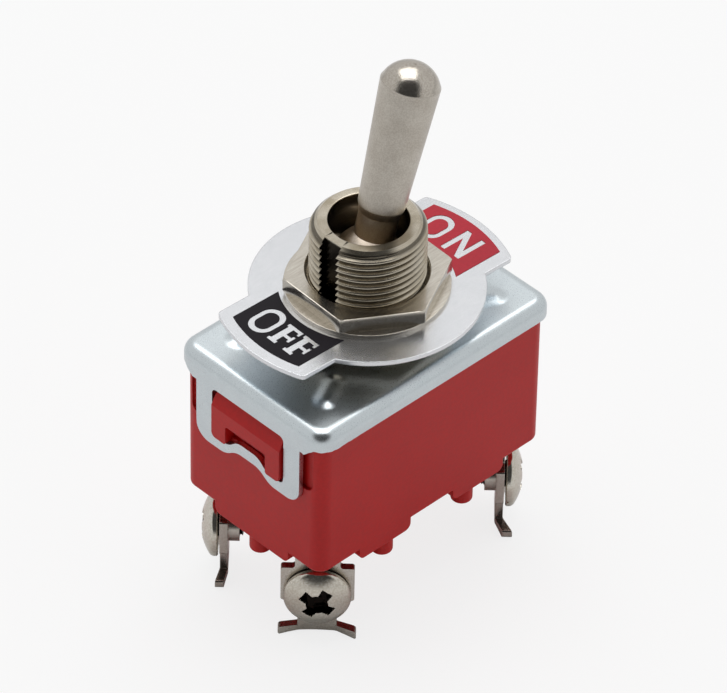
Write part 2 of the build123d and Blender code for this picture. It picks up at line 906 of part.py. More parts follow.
def rocker(side):
    """Return a rocker: a curved valley, two arms, and a boss with a groove for the fulcrum."""
    centre, path_radius = valley_path()
    top_radius = path_radius + plunger_radius + valley_clearance
    under_radius = top_radius + rocker_sheet
    top_end = centre - sqrt(top_radius**2 - valley_half**2)
    under_end = centre - sqrt(under_radius**2 - valley_half**2)
    arm_under = contact_height + contact_thickness
    arm_top = arm_under + rocker_sheet
    arm_start = valley_half + rocker_sheet
    arm_end = contact_reach + contact_radius + rocker_arm_margin
    top_arc = ThreePointArc((-valley_half, top_end), (0, centre - top_radius), (valley_half, top_end))
    under_arc = ThreePointArc((valley_half, under_end), (0, centre - under_radius), (-valley_half, under_end))
    right = Polyline(
        (valley_half, top_end),
        (arm_start, arm_top),
        (arm_end, arm_top),
        (arm_end, arm_under),
        (arm_start - rocker_sheet / 2, arm_under),
        (valley_half, under_end),
    )
    left = Polyline(
        (-valley_half, under_end),
        (rocker_sheet / 2 - arm_start, arm_under),
        (-arm_end, arm_under),
        (-arm_end, arm_top),
        (-arm_start, arm_top),
        (-valley_half, top_end),
    )
    profile = make_face([top_arc, right, under_arc, left])
    boss_top = centre - under_radius + rocker_sheet / 2
    boss = Pos(0, boss_top / 2) * Rectangle(2 * rocker_boss_half, boss_top)
    profile = profile + boss - Circle(fulcrum_radius + fulcrum_clearance)
    return rocker_place(along_y(profile, 0, rocker_width), side)


def rocker_contact(side):
    """Return the domed contact under the rocker's arm at low X."""
    button = drum(contact_radius, contact_height, contact_height + contact_thickness)
    crown = Pos(0, 0, contact_height + contact_crown) * Sphere(contact_crown)
    return rocker_place(Pos(-contact_reach, 0, 0) * (button & crown), side)


def closed_contact_place():
    """Return the X and Z of the lowest point of a rocker's contact at its rest tilt."""
    centre_height = contact_height + contact_crown
    x = -contact_reach * cos(half_rock) - centre_height * sin(half_rock)
    z = fulcrum_height - contact_reach * sin(half_rock) + centre_height * cos(half_rock) - contact_crown
    return x, z


def fixed_contact(side):
    """Return the contact on the floor strip, under the rocker's contact."""
    x, z = closed_contact_place()
    return Pos(x, side * pole_offset, 0) * drum(fixed_contact_radius, strip_top, z - contact_gap)


def at_terminal(shape):
    """Place a shape drawn at the outer face of the front contact terminal, with -Y outwards."""
    return Pos(-terminal_x, -terminal_y, 0) * Rot(0, 0, -terminal_turn) * shape


def terminal_point(across, inward):
    """Return the plan place of a point given from the terminal's outer face."""
    turn = radians(terminal_turn)
    x = -terminal_x + across * cos(turn) + inward * sin(turn)
    y = -terminal_y - across * sin(turn) + inward * cos(turn)
    return (x, y)


def terminal_blade():
    """Return the flat part of a terminal, from the strip's level to its waist."""
    half = [
        (neck_half_width, strip_top),
        (neck_half_width, shoulder_top),
        (shoulder_half_width, shoulder_top),
        (shoulder_half_width, shoulder_bottom),
        (waist_half_width, waist_top),
        (waist_half_width, (tail_top + tail_bottom) / 2),
    ]
    rounded = [(half[1], shoulder_corner), (half[2], shoulder_corner), (half[3], shoulder_corner)]
    face = outline(mirrored_points(half), both_sides(rounded))
    return extrude(Plane.XZ.offset(-terminal_sheet) * face, terminal_sheet)


def terminal_tail():
    """Return the flared tail, its two horns bent outwards to keep a wire under the screw."""
    drop = tail_half_width - tail_bend_start
    plan = [
        (-tail_half_width, -tail_bend_inner),
        (-tail_bend_start, 0),
        (tail_bend_start, 0),
        (tail_half_width, -tail_bend_outer),
        (tail_half_width + terminal_sheet * tail_bend_outer / drop, terminal_sheet - tail_bend_outer),
        (tail_bend_start, terminal_sheet),
        (-tail_bend_start, terminal_sheet),
        (-tail_half_width - terminal_sheet * tail_bend_inner / drop, terminal_sheet - tail_bend_inner),
    ]
    bends = [(plan[index], tail_bend_round) for index in (1, 2, 5, 6)]
    band = Pos(0, 0, tail_bottom) * extrude(outline(plan, bends), tail_height)
    side = [
        (-tail_half_width, tail_top),
        (-tail_half_width, tail_bottom),
        (tail_half_width, tail_bottom),
        (tail_half_width, tail_top),
    ]
    hollow = ThreePointArc(side[1], (0, tail_bottom + tail_hollow), side[2])
    lower = make_face([hollow, Line(side[2], side[1])])
    corners = [(corner, tail_corner) for corner in side]
    trim = extrude(Plane.XZ * outline(side, corners), 2 * tail_half_width, both=True)
    notch = extrude(Plane.XZ * lower, 2 * tail_half_width, both=True)
    return (band & trim) - notch


def terminal(strip_end):
    """Return the front contact terminal's form, with its floor strip reaching to a place along X."""
    collar = drum(collar_radius, -terminal_sheet / 2, collar_length)
    collar = Pos(0, terminal_sheet, screw_height) * Rot(-90, 0, 0) * collar
    hole = Cylinder(screw_radius + screw_clearance, 4 * (terminal_sheet + collar_length))
    hole = Pos(0, 0, screw_height) * Rot(90, 0, 0) * hole
    blade = at_terminal(terminal_blade() + terminal_tail() + collar - hole)
    near = -pole_offset - strip_width / 2
    far = -pole_offset + strip_width / 2
    link_half = neck_half_width - link_margin
    points = [
        terminal_point(-link_half, terminal_sheet / 2),
        terminal_point(link_half, terminal_sheet / 2),
        (-terminal_x + strip_width, near),
        (strip_end, near),
        (strip_end, far),
        (-terminal_x + strip_width / 2, far),
    ]
    strip = Pos(0, 0, strip_bottom) * extrude(outline(points), terminal_sheet)
    return blade + strip


def contact_terminal():
    """Return the front contact terminal, which carries a fixed contact."""
    x, _ = closed_contact_place()
    return terminal(x + fixed_contact_radius + strip_margin)


def common_terminal():
    """Return the front common terminal, at the high X end, with the fulcrum for its rocker."""
    end = 2 * fulcrum_radius
    tab = block(
        (-fulcrum_radius, -pole_offset - strip_width / 2, strip_bottom),
        (fulcrum_radius, -pole_offset + strip_width / 2, fulcrum_height),
    )
    crown = Pos(0, -pole_offset, fulcrum_height) * Rot(90, 0, 0) * Cylinder(fulcrum_radius, strip_width)
    return mirror(terminal(end), about=Plane.YZ) + tab + crown


def screw_recess():
    """Return the cross recess, cut down from the top of a head at Z = 0."""
    points = [
        (-recess_reach, screw_dome),
        (-recess_reach, 0),
        (-recess_root, -recess_depth),
        (recess_root, -recess_depth),
        (recess_reach, 0),
        (recess_reach, screw_dome),
    ]
    wing = extrude(Plane.XZ * outline(points), recess_width / 2, both=True)
    core_points = [
        (0, -recess_depth),
        (recess_root, -recess_depth),
        (recess_core, 0),
        (recess_core, screw_dome),
    ]
    core_points += [(0, screw_dome)]
    core = revolve(Plane.XZ * outline(core_points), Axis.Z)
    return wing + Rot(0, 0, 90) * wing + core


def screw_head():
    """Return the domed head of a binding screw, drawn along Z from the terminal's face."""
    rim_top = screw_head_gap + screw_head_rim
    top = rim_top + screw_dome
    crown_radius = (screw_head_radius**2 + screw_dome**2) / (2 * screw_dome)
    half = screw_head_radius / 2
    middle = (half, top - crown_radius + sqrt(crown_radius**2 - half**2))
    corners = [(screw_head_radius, screw_head_gap), (screw_head_radius, rim_top)]
    side = Polyline((0, screw_head_gap), *corners)
    crown = ThreePointArc(corners[1], middle, (0, top))
    section = make_face([side, crown, Line((0, top), (0, screw_head_gap))])
    for corner in corners:
        nearest = section.vertices().sort_by_distance((*corner, 0))[0]
        section = fillet(nearest, screw_head_edge)
    return revolve(Plane.XZ * section, Axis.Z)


def screw(turn):
    """Return a binding screw, laid along the front contact terminal's normal."""
    top = screw_head_gap + screw_head_rim + screw_dome
    head = screw_head() - Pos(0, 0, top - recess_sag) * Rot(0, 0, 45 + turn) * screw_recess()
    body = head + drum(screw_radius, -screw_length, screw_head_gap + screw_head_rim / 2)
    return at_terminal(Pos(0, 0, screw_height) * Rot(90, 0, 0) * body)


def at_corner(shape, common, rear):
    """Return a copy of a front contact corner's shape, moved to any of the four corners."""
    if common and rear:
        return Rot(0, 0, 180) * shape
    if common:
        return mirror(shape, about=Plane.YZ)
    if rear:
        return mirror(shape, about=Plane.XZ)
    return shape


def terminals():
    """Return the four terminals by name."""
    contact = contact_terminal()
    common = common_terminal()
    return {
        "contact_terminal_front": contact,
        "contact_terminal_rear": at_corner(contact, False, True),
        "common_terminal_front": common,
        "common_terminal_rear": at_corner(common, False, True),
    }


def screws():
    """Return the four binding screws by name, each turned as it was left."""
    return {
        name: at_corner(screw(turn), name.startswith("common"), name.endswith("rear"))
        for name, turn in screw_turns.items()
    }


def both_poles():
    """Return the pieces that each pole has, front and rear."""
    makers = {
        "plunger": plunger,
        "plunger_spring": plunger_spring,
        "rocker": rocker,
        "rocker_contact": rocker_contact,
        "fixed_contact": fixed_contact,
    }
    sides = {"front": -1, "rear": 1}
    return {f"{name}_{end}": make(side) for name, make in makers.items() for end, side in sides.items()}


nodes = {
    "cover_shell": cover_shell(),
    "housing": housing(),
    "bushing": bushing(),
    "back_nut": back_nut(),
    "lock_washer": lock_washer(),
    "label_plate": label_plate(),
    "off_print": off_print(),
    "on_print": on_print(),
    "face_washer": face_washer(),
    "face_nut": face_nut(),
    "lever": lever(),
    "pivot_pin": pivot_pin(),
    "pin_retainer": pin_retainer(),
    "carrier": carrier(),
    **both_poles(),
    **terminals(),
    **screws(),
}

os.makedirs("parts", exist_ok=True)
for name, shape in nodes.items():
    export_step(Pos(0, 0, stand_height) * shape, f"parts/{name}.step")

print("stand height", round(stand_height, 4))
print("pivot", round(stand_height + pivot_height, 4))
print("fulcrum", round(stand_height + fulcrum_height, 4))
print("spring seat", round(stand_height + pivot_height - plunger_socket_top * cos(half_throw), 4))
print("screw", round(terminal_x, 4), round(terminal_y, 4), round(stand_height + screw_height, 4))
free_thread_top = bushing_top - bushing_bevel
print("free thread", round(stand_height + face_nut_top, 4), round(stand_height + free_thread_top, 4))
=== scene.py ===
"""Toggle switch with a label plate: dressed pieces, finishes, lights and camera.

Lengths are millimetres in the dataclass fields and metres in the meshes. Heights are given from the top
of the sheet cover, the "seat", and lifted on to the floor when a mesh is made.
"""

import json
import logging
from dataclasses import dataclass
from enum import Enum
from math import asin, atan2, cos, pi, radians, sin, sqrt, tan

import bmesh
import bpy
import numpy as np
from mathutils import Matrix, Vector


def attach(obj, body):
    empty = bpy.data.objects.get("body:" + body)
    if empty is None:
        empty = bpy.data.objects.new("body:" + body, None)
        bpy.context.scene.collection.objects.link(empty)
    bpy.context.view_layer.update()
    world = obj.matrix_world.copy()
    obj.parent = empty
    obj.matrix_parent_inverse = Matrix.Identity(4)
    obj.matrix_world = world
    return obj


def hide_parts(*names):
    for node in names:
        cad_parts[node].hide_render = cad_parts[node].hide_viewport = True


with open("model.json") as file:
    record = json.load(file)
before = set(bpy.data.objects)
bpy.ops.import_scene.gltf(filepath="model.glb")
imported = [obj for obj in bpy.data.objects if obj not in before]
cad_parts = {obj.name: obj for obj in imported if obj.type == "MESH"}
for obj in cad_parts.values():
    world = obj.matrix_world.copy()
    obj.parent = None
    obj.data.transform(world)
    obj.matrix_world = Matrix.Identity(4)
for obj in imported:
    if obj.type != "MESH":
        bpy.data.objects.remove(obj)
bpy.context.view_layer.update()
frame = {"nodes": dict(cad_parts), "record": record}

log = logging.getLogger("toggle_switch")

MM = 0.001
SEAT = 29.7978
SCREW_TURNS = {"contact_screw_front": 10.0, "contact_screw_rear": -24.0,
               "common_screw_front": 31.0, "common_screw_rear": -3.0}
Colour = tuple[float, float, float]
Span = tuple[float, float]
Socket = bpy.types.NodeSocket


def linear(red: float, green: float, blue: float) -> Colour:
    """Return a linear colour from sRGB values of 0 to 255.

    Args:
        red: Red of 0 to 255.
        green: Green of 0 to 255.
        blue: Blue of 0 to 255.

    Returns:
        The three linear channels.
    """
    def channel(value: float) -> float:
        """Return one linear channel."""
        v = value / 255
        return v / 12.92 if v <= 0.04045 else ((v + 0.055) / 1.055) ** 2.4
    return channel(red), channel(green), channel(blue)


class Lay(Enum):
    """The direction in which a finish's fine marks run, as a stretch of the pattern along X, Y and Z."""

    EVEN = (1.0, 1.0, 1.0)
    TURNED = (0.12, 0.12, 3.0)
    ALONG_X = (0.08, 1.6, 1.0)


class WearAndPaintedLight(Enum):
    """The places where a metal finish is darker or smoother than its plating: real marks, painted shade and a
    painted reflection.
    """

    NONE = 0
    THREAD = 1
    RECESS = 2
    SHEARED = 3
    HANDLED_AND_NECK_SHADE = 4


class Body(Enum):
    """The bodies of the record that scene pieces ride on."""

    BASE = "base"
    LEVER = "lever"


class Graph:
    """A node tree with short calls to add and join nodes."""

    def __init__(self, tree: bpy.types.NodeTree) -> None:
        """Keep the tree that nodes are added to."""
        self.tree = tree

    def add(self, kind: str, settings: dict | None = None, inputs: dict | None = None) -> bpy.types.Node:
        """Add one node.

        Args:
            kind: The node's type name.
            settings: Attributes to set on the node.
            inputs: Input socket names or indices with a value, or with an output socket to link from.

        Returns:
            The new node.
        """
        node = self.tree.nodes.new(kind)
        for name, value in (settings or {}).items():
            setattr(node, name, value)
        for name, value in (inputs or {}).items():
            if isinstance(value, Socket):
                self.tree.links.new(value, node.inputs[name])
            else:
                node.inputs[name].default_value = value
        return node

    def math(self, operation: str, first: object, second: object = 0.0, third: object = 0.0) -> Socket:
        """Return the output of a Math node over sockets or numbers."""
        return self.add("ShaderNodeMath", {"operation": operation},
                        {0: first, 1: second, 2: third}).outputs[0]

    def mix_colour(self, amount: Socket, first: object, second: object) -> Socket:
        """Return a blend of two colours, each a socket or a Colour, by an amount of 0 to 1.

        Args:
            amount: The share of the second colour.
            first: The colour at 0.
            second: The colour at 1.

        Returns:
            The blend's socket.
        """
        first, second = (colour if isinstance(colour, Socket) else (*colour, 1.0)
                         for colour in (first, second))
        return self.add("ShaderNodeMix", {"data_type": "RGBA"},
                        {0: amount, 6: first, 7: second}).outputs[2]

    def ramp(self, value: Socket, low: float, high: float) -> Socket:
        """Return a smooth step from 0 at low to 1 at high.

        Args:
            value: The number to map.
            low: Where the step starts.
            high: Where it ends.

        Returns:
            The step's socket.
        """
        settings = {"interpolation_type": "SMOOTHSTEP"}
        inputs = {"Value": value, "From Min": low, "From Max": high}
        return self.add("ShaderNodeMapRange", settings, inputs).outputs["Result"]


def speckle(graph: Graph, pattern: bpy.types.Node) -> Socket:
    """Return a mottle of 0 to 1, three parts of the pattern's grain to two parts of its cloud.

    Args:
        graph: The material's graph.
        pattern: Its fine marks node.

    Returns:
        The mottle's socket.
    """
    cloud = graph.ramp(pattern.outputs["Cloud"], 0.3, 0.7)
    grain = graph.ramp(pattern.outputs["Grain"], 0.35, 0.65)
    return graph.math("MULTIPLY_ADD", grain, 0.6, graph.math("MULTIPLY", cloud, 0.4))


def facing(graph: Graph, edge: float) -> Socket:
    """Return the surface's normal, rounded over an edge radius in millimetres where there is one.

    Args:
        graph: The material's graph.
        edge: The edge radius, or 0 for plain edges.

    Returns:
        The normal's socket.
    """
    if edge <= 0:
        return graph.add("ShaderNodeNewGeometry").outputs["Normal"]
    return graph.add("ShaderNodeBevel", {"samples": 6}, {"Radius": edge * MM}).outputs[0]


def fine_marks_group() -> bpy.types.NodeTree:
    """Return the group of fine surface marks: a grain value, a cloud value and a normal.

    The pattern is noise over Object coordinates times Stretch. Grain is the fine noise at Scale, Cloud the
    same at a fifteenth of it, and Normal tilts the normal put in as Facing by the grain, times Depth.

    Returns:
        The group, ready to be placed in each material.
    """
    group = bpy.data.node_groups.new("fine_marks", "ShaderNodeTree")
    number, vector = "NodeSocketFloat", "NodeSocketVector"
    for name, kind, value in (("Scale", number, 4000.0), ("Stretch", vector, (1.0, 1.0, 1.0)),
                              ("Depth", number, 0.1), ("Facing", vector, (0.0, 0.0, 1.0))):
        group.interface.new_socket(name=name, in_out="INPUT", socket_type=kind).default_value = value
    for name, kind in (("Grain", number), ("Cloud", number), ("Normal", vector)):
        group.interface.new_socket(name=name, in_out="OUTPUT", socket_type=kind)
    graph = Graph(group)
    source = graph.add("NodeGroupInput").outputs
    place = graph.add("ShaderNodeTexCoord").outputs["Object"]
    stretched = graph.add("ShaderNodeVectorMath", {"operation": "MULTIPLY"},
                          {0: place, 1: source["Stretch"]}).outputs[0]
    fine = graph.add("ShaderNodeTexNoise", None,
                     {"Vector": stretched, "Scale": source["Scale"], "Detail": 3.0}).outputs[0]
    slow_scale = graph.math("DIVIDE", source["Scale"], 15.0)
    slow = graph.add("ShaderNodeTexNoise", None, {"Vector": place, "Scale": slow_scale, "Detail": 2.0})
    bump = graph.add("ShaderNodeBump", None, {"Strength": source["Depth"], "Distance": 0.02 * MM,
                                              "Height": fine, "Normal": source["Facing"]})
    graph.add("NodeGroupOutput", None, {"Grain": fine, "Cloud": slow.outputs[0],
                                        "Normal": bump.outputs["Normal"]})
    return group


@dataclass
class WearAndPaintedLightMask:
    """The masks of a metal's real marks, of its painted shade and of a painted reflection, worked out from a
    point of the surface.

    Spans are in millimetres, and a mask climbs from the first number of its span to the second.
    """

    graph: Graph
    band_edge: float = 0.04
    groove: Span = (5.9, 5.6)
    threaded: Span = (5.42, 6.2)
    groove_share: float = 0.72
    slot: Span = (4.9, 5.8)
    slot_widening: float = 1.02
    slot_top: Span = (-0.02, -0.3)
    recess_depth: Span = (0.08, 0.3)
    recess_reach: float = 2.1
    polish: Span = (-0.1, 0.25)
    marks_foot: Span = (12.5, 14.5)
    marks_head: Span = (18.5, 17.0)
    marks_share: float = 0.6
    marks_scale: float = 420.0
    neck_shade: Span = (7.4, 5.6)
    neck_shade_share: float = 0.4
    spots_scale: float = 2600.0

    def __post_init__(self) -> None:
        """Read the surface's place and facing into separate numbers."""
        coords = self.graph.add("ShaderNodeTexCoord").outputs
        place, way = (self.graph.add("ShaderNodeSeparateXYZ", None, {0: coords[name]}).outputs
                      for name in ("Object", "Normal"))
        self.x, self.y, self.z = (place[axis] for axis in "XYZ")
        self.way_x, self.way_y, self.way_z = (way[axis] for axis in "XYZ")

    def times(self, first: Socket, second: object) -> Socket:
        """Return the product of two numbers."""
        return self.graph.math("MULTIPLY", first, second)

    def climb(self, value: Socket, span: Span, start: float = 0.0) -> Socket:
        """Return a smooth step of 0 to 1 over a span that is measured from a start."""
        return self.graph.ramp(value, (start + span[0]) * MM, (start + span[1]) * MM)

    def band(self, value: Socket, low: float, high: float) -> Socket:
        """Return 1 between two values and 0 outside, with short ends."""
        rise, fall = (self.climb(value, (-self.band_edge, self.band_edge), at) for at in (low, high))
        return self.graph.math("SUBTRACT", rise, fall)

    def length(self, first: Socket, second: Socket) -> Socket:
        """Return the length of a pair of numbers."""
        square = self.times(second, second)
        return self.graph.math("SQRT", self.graph.math("MULTIPLY_ADD", first, first, square))

    def turned(self, first: Socket, second: Socket, turn: float) -> Socket:
        """Return the part of a pair of numbers that lies along an angle in radians."""
        return self.graph.math("MULTIPLY_ADD", first, cos(turn), self.times(second, sin(turn)))

    def thread(self) -> Socket:
        """Return the painted shade in the bushing's thread and keyway.

        It is 1 in the thread's root and fades out towards the crest, and 1 all over the keyway, whose middle
        stands at the keyway's angle and half width from the axis.

        Returns:
            A mask of 0 to 1.
        """
        radius = self.length(self.x, self.y)
        # painted shade: dark in the thread's root, fading out towards the crest
        groove = self.times(self.climb(radius, self.groove), self.band(radius, *self.threaded))
        # painted shade over the whole keyway
        turn = pi + radians(Bushing.keyway_turn)
        half = Bushing.keyway_half * self.slot_widening
        slot = self.times(self.band(self.turned(self.x, self.y, turn), *self.slot),
                          self.band(self.turned(self.x, self.y, turn + pi / 2), -half, half))
        slot = self.times(slot, self.climb(self.z, self.slot_top, SEAT + Bushing.top))
        return self.graph.math("MAXIMUM", self.times(groove, self.groove_share), slot)

    def recess(self) -> Socket:
        """Return the shade in the cross recess of the four screws.

        With the signs of x and y dropped all four screws are one: its axis runs along (1, 1, 0), and a point
        lies deep in the recess when it is well under the head's dome and near the axis.

        Returns:
            A mask of 0 to 1.
        """
        graph, share, screw = self.graph, sqrt(0.5), BindingScrew
        side_x, side_y = graph.math("ABSOLUTE", self.x), graph.math("ABSOLUTE", self.y)
        along = self.times(graph.math("ADD", side_x, side_y), share)
        across = graph.math("MULTIPLY_ADD", graph.math("SUBTRACT", side_x, side_y), share,
                            (screw.axis_y - screw.axis_x) * share * MM)
        radius = self.length(across, graph.math("SUBTRACT", self.z, screw.height * MM))
        dome = (screw.axis_x + screw.axis_y) * share + screw.top
        fall = (screw.top - screw.gap - screw.rim) / screw.radius ** 2
        sag = self.times(self.times(radius, radius), fall / MM)
        depth = graph.math("SUBTRACT", dome * MM, graph.math("ADD", along, sag))
        # painted shade deep in the cross recess
        return self.times(self.climb(depth, self.recess_depth), self.band(radius, -1.0, self.recess_reach))

    def along_lever(self) -> Socket:
        """Return the distance along the lever from its pivot, in metres."""
        rise = self.graph.math("SUBTRACT", self.z, (SEAT + BatLever.pivot) * MM)
        return self.turned(rise, self.x, radians(BatLever.tilt))

    def tip(self) -> Socket:
        """Return 1 on the lever's polished dome and 0 on its grained side."""
        return self.climb(self.along_lever(), self.polish, BatLever.bat_end)

    def marks_and_neck_shade(self) -> Socket:
        """Return faint brown finger marks on the lever and painted shade at its neck, by the bushing's mouth.

        The marks are thin streaks of a warped noise, kept to one stretch of the handle.

        Returns:
            A mask of 0 to 1.
        """
        along = self.along_lever()
        streaks = self.graph.add("ShaderNodeTexNoise", None,
                                 {"Scale": self.marks_scale, "Detail": 3.0, "Distortion": 1.4})
        thin = self.graph.ramp(streaks.outputs[0], 0.62, 0.7)
        stretch = self.times(self.climb(along, self.marks_foot), self.climb(along, self.marks_head))
        marks = self.times(self.times(thin, stretch), self.marks_share)
        # painted shade: browner towards the neck, where the lever goes into the bushing's mouth
        neck = self.times(self.climb(along, self.neck_shade), self.neck_shade_share)
        return self.graph.math("MAXIMUM", marks, neck)

    def sheared(self) -> Socket:
        """Return a painted reflection on the terminals' sheared rims, a mottled reddish brown.

        A rim doesn't face along (1, 1, 0), with signs dropped. Rims that face up, towards the red housing,
        carry the painted reflection in spots, and the others only a little.

        Returns:
            A mask of 0 to 1.
        """
        graph = self.graph
        parts = [self.times(way, graph.math("SIGN", place))
                 for way, place in ((self.way_x, self.x), (self.way_y, self.y))]
        along = graph.math("ABSOLUTE", self.times(graph.math("ADD", *parts), sqrt(0.5)))
        rim = graph.ramp(along, 0.6, 0.35)
        spots = graph.add("ShaderNodeTexNoise", None, {"Scale": self.spots_scale, "Detail": 5.0})
        mottle = graph.math("MULTIPLY_ADD", graph.ramp(spots.outputs[0], 0.38, 0.6), 0.7, 0.3)
        # painted reflection of the red housing, strongest on rims that face up
        share = graph.math("MULTIPLY_ADD", graph.ramp(self.way_z, 0.3, 0.8), 0.75, 0.2)
        return self.times(rim, self.times(share, mottle))


@dataclass(frozen=True)
class Finish:
    """What every finish shares: two mottled colours, a roughness that varies and fine marks."""

    name: str
    light: Colour
    dark: Colour
    roughness: float
    spread: float = 0.06
    scale: float = 5000.0
    depth: float = 0.12
    edge: float = 0.0
    lay: Lay = Lay.EVEN

    def worn_and_painted(self, graph: Graph, colour: Socket, rough: Socket) -> tuple[Socket, Socket]:
        """Return the colour and roughness with this finish's marks and painted light, here none."""
        return colour, rough

    def set_gloss(self, shader: bpy.types.Node) -> None:
        """Set the shader's values that are the same all over the surface."""

    def material(self, marks: bpy.types.NodeTree) -> bpy.types.Material:
        """Build the material.

        Args:
            marks: The fine marks group.

        Returns:
            The finished material.
        """
        material = bpy.data.materials.new(self.name)
        material.use_nodes = True
        graph = Graph(material.node_tree)
        shader = material.node_tree.nodes["Principled BSDF"]
        pattern = graph.add("ShaderNodeGroup", {"node_tree": marks},
                            {"Scale": self.scale, "Stretch": self.lay.value, "Depth": self.depth,
                             "Facing": facing(graph, self.edge)})
        colour = graph.mix_colour(speckle(graph, pattern), self.dark, self.light)
        rough = graph.math("MULTIPLY_ADD", pattern.outputs["Grain"], self.spread,
                           self.roughness - self.spread / 2)
        colour, rough = self.worn_and_painted(graph, colour, rough)
        for name, socket in (("Base Color", colour), ("Roughness", rough),
                             ("Normal", pattern.outputs["Normal"])):
            graph.tree.links.new(socket, shader.inputs[name])
        self.set_gloss(shader)
        return material


@dataclass(frozen=True)
class Metal(Finish):
    """A bare or plated metal finish, with its piece's real marks, painted shade and painted reflection where
    it has them.
    """

    wear_and_painted_light: WearAndPaintedLight = WearAndPaintedLight.NONE
    wear_and_painted_colour: Colour = (0.0, 0.0, 0.0)
    polish: float = 0.4

    def worn_and_painted(self, graph: Graph, colour: Socket, rough: Socket) -> tuple[Socket, Socket]:
        """Return the colour and roughness with the piece's marks and painted light, and smoother on the
        lever's dome.

        Args:
            graph: The material's graph.
            colour: The clean colour.
            rough: The clean roughness.

        Returns:
            The colour and the roughness to use.
        """
        if self.wear_and_painted_light is WearAndPaintedLight.NONE:
            return colour, rough
        masks = WearAndPaintedLightMask(graph)
        mask = {WearAndPaintedLight.THREAD: masks.thread, WearAndPaintedLight.RECESS: masks.recess,
                WearAndPaintedLight.SHEARED: masks.sheared, WearAndPaintedLight.HANDLED_AND_NECK_SHADE: masks.marks_and_neck_shade}[self.wear_and_painted_light]()
        if self.wear_and_painted_light is WearAndPaintedLight.HANDLED_AND_NECK_SHADE:
            kept = graph.math("MULTIPLY_ADD", masks.tip(), -self.polish, 1.0)
            rough = graph.math("MULTIPLY", rough, kept)
        return graph.mix_colour(mask, colour, self.wear_and_painted_colour), rough

    def set_gloss(self, shader: bpy.types.Node) -> None:
        """Make the shader a metal's."""
        shader.inputs["Metallic"].default_value = 1.0


@dataclass(frozen=True)
class Moulding(Finish):
    """A moulded or printed finish with a little gloss."""

    spread: float = 0.1
    scale: float = 2500.0
    depth: float = 0.3
    specular: float = 0.5

    def set_gloss(self, shader: bpy.types.Node) -> None:
        """Set how much the surface shines."""
        shader.inputs["Specular IOR Level"].default_value = self.specular


FINISHES = (
    Metal("zinc_cover", linear(216, 224, 227), linear(207, 215, 219), 0.29, spread=0.12, scale=9000.0),
    # the bushing's dark brown is painted shade in the thread's root and the keyway
    Metal("nickel_bushing", linear(208, 200, 184), linear(178, 167, 146), 0.22, lay=Lay.TURNED,
          wear_and_painted_light=WearAndPaintedLight.THREAD, wear_and_painted_colour=linear(34, 27, 16)),
    Metal("nickel_hardware", linear(218, 212, 201), linear(200, 193, 181), 0.22, lay=Lay.ALONG_X),
    Metal("label_aluminium", linear(234, 235, 238), linear(228, 230, 233), 0.25, lay=Lay.ALONG_X,
          scale=7000.0, depth=0.2, edge=0.12),
    # the lever's brown is real finger marks, and painted shade at the neck
    Metal("nickel_lever", linear(204, 198, 188), linear(180, 172, 161), 0.32, spread=0.16,
          scale=6500.0, depth=0.55, wear_and_painted_light=WearAndPaintedLight.HANDLED_AND_NECK_SHADE, wear_and_painted_colour=linear(120, 92, 58)),
    Metal("steel_pin", linear(178, 178, 180), linear(150, 148, 146), 0.3),
    Metal("spring_steel", linear(160, 160, 164), linear(130, 128, 126), 0.3),
    Metal("plated_copper", linear(205, 180, 140), linear(184, 150, 110), 0.3),
    Metal("silver_contact", linear(226, 224, 218), linear(200, 196, 188), 0.25),
    # the terminals' reddish brown is a painted reflection of the red housing on the sheared rims
    Metal("terminal_plating", linear(216, 211, 203), linear(186, 178, 167), 0.26, scale=7000.0,
          wear_and_painted_light=WearAndPaintedLight.SHEARED, wear_and_painted_colour=linear(92, 56, 46), edge=0.1),
    # the screws' near black is painted shade in the cross recess
    Metal("screw_plating", linear(220, 216, 206), linear(192, 184, 170), 0.15,
          wear_and_painted_light=WearAndPaintedLight.RECESS, wear_and_painted_colour=linear(24, 20, 18)),
    Moulding("red_moulding", linear(196, 21, 19), linear(184, 18, 17), 0.42, specular=0.32, edge=0.12),
    Moulding("inner_moulding", linear(222, 216, 200), linear(212, 205, 188), 0.45),
    Moulding("black_print", linear(24, 18, 26), linear(18, 14, 21), 0.6, depth=0.1, specular=0.2),
    Moulding("red_print", linear(190, 28, 50), linear(180, 22, 44), 0.5, depth=0.1, specular=0.35),
)


class Finishes:
    """All materials, made once and looked up by the record's slot."""

    def __init__(self) -> None:
        """Build the shared group and every material."""
        marks = fine_marks_group()
        self.by_slot = {finish.name: finish.material(marks) for finish in FINISHES}

    def dress_nodes(self) -> None:
        """Give every CAD node's object the finish of its slot in the record."""
        for part in frame["record"]["subparts"]:
            thing, slot = frame["nodes"][part["node"]], part["material_slot"]
            if not thing.material_slots:
                thing.data.materials.append(self.by_slot[slot])
            for place in thing.material_slots:
                place.material = self.by_slot[slot]
            log.info("node %s dressed as %s", part["node"], slot)


def grid_faces(rows: int, columns: int, close_rows: bool, close_columns: bool) -> np.ndarray:
    """Return the quads of a grid of points stored row after row.

    Args:
        rows: Number of rows.
        columns: Number of points in a row.
        close_rows: Join the last row to the first.
        close_columns: Join the last column to the first.

    Returns:
        Quads as an (n, 4) array of point numbers.
    """
    last_row = rows if close_rows else rows - 1
    last_column = columns if close_columns else columns - 1
    i, j = np.meshgrid(np.arange(last_row), np.arange(last_column), indexing="ij")
    up, right = (i + 1) % rows, (j + 1) % columns
    return np.stack([i * columns + j, i * columns + right, up * columns + right, up * columns + j],
                    axis=-1).reshape(-1, 4)


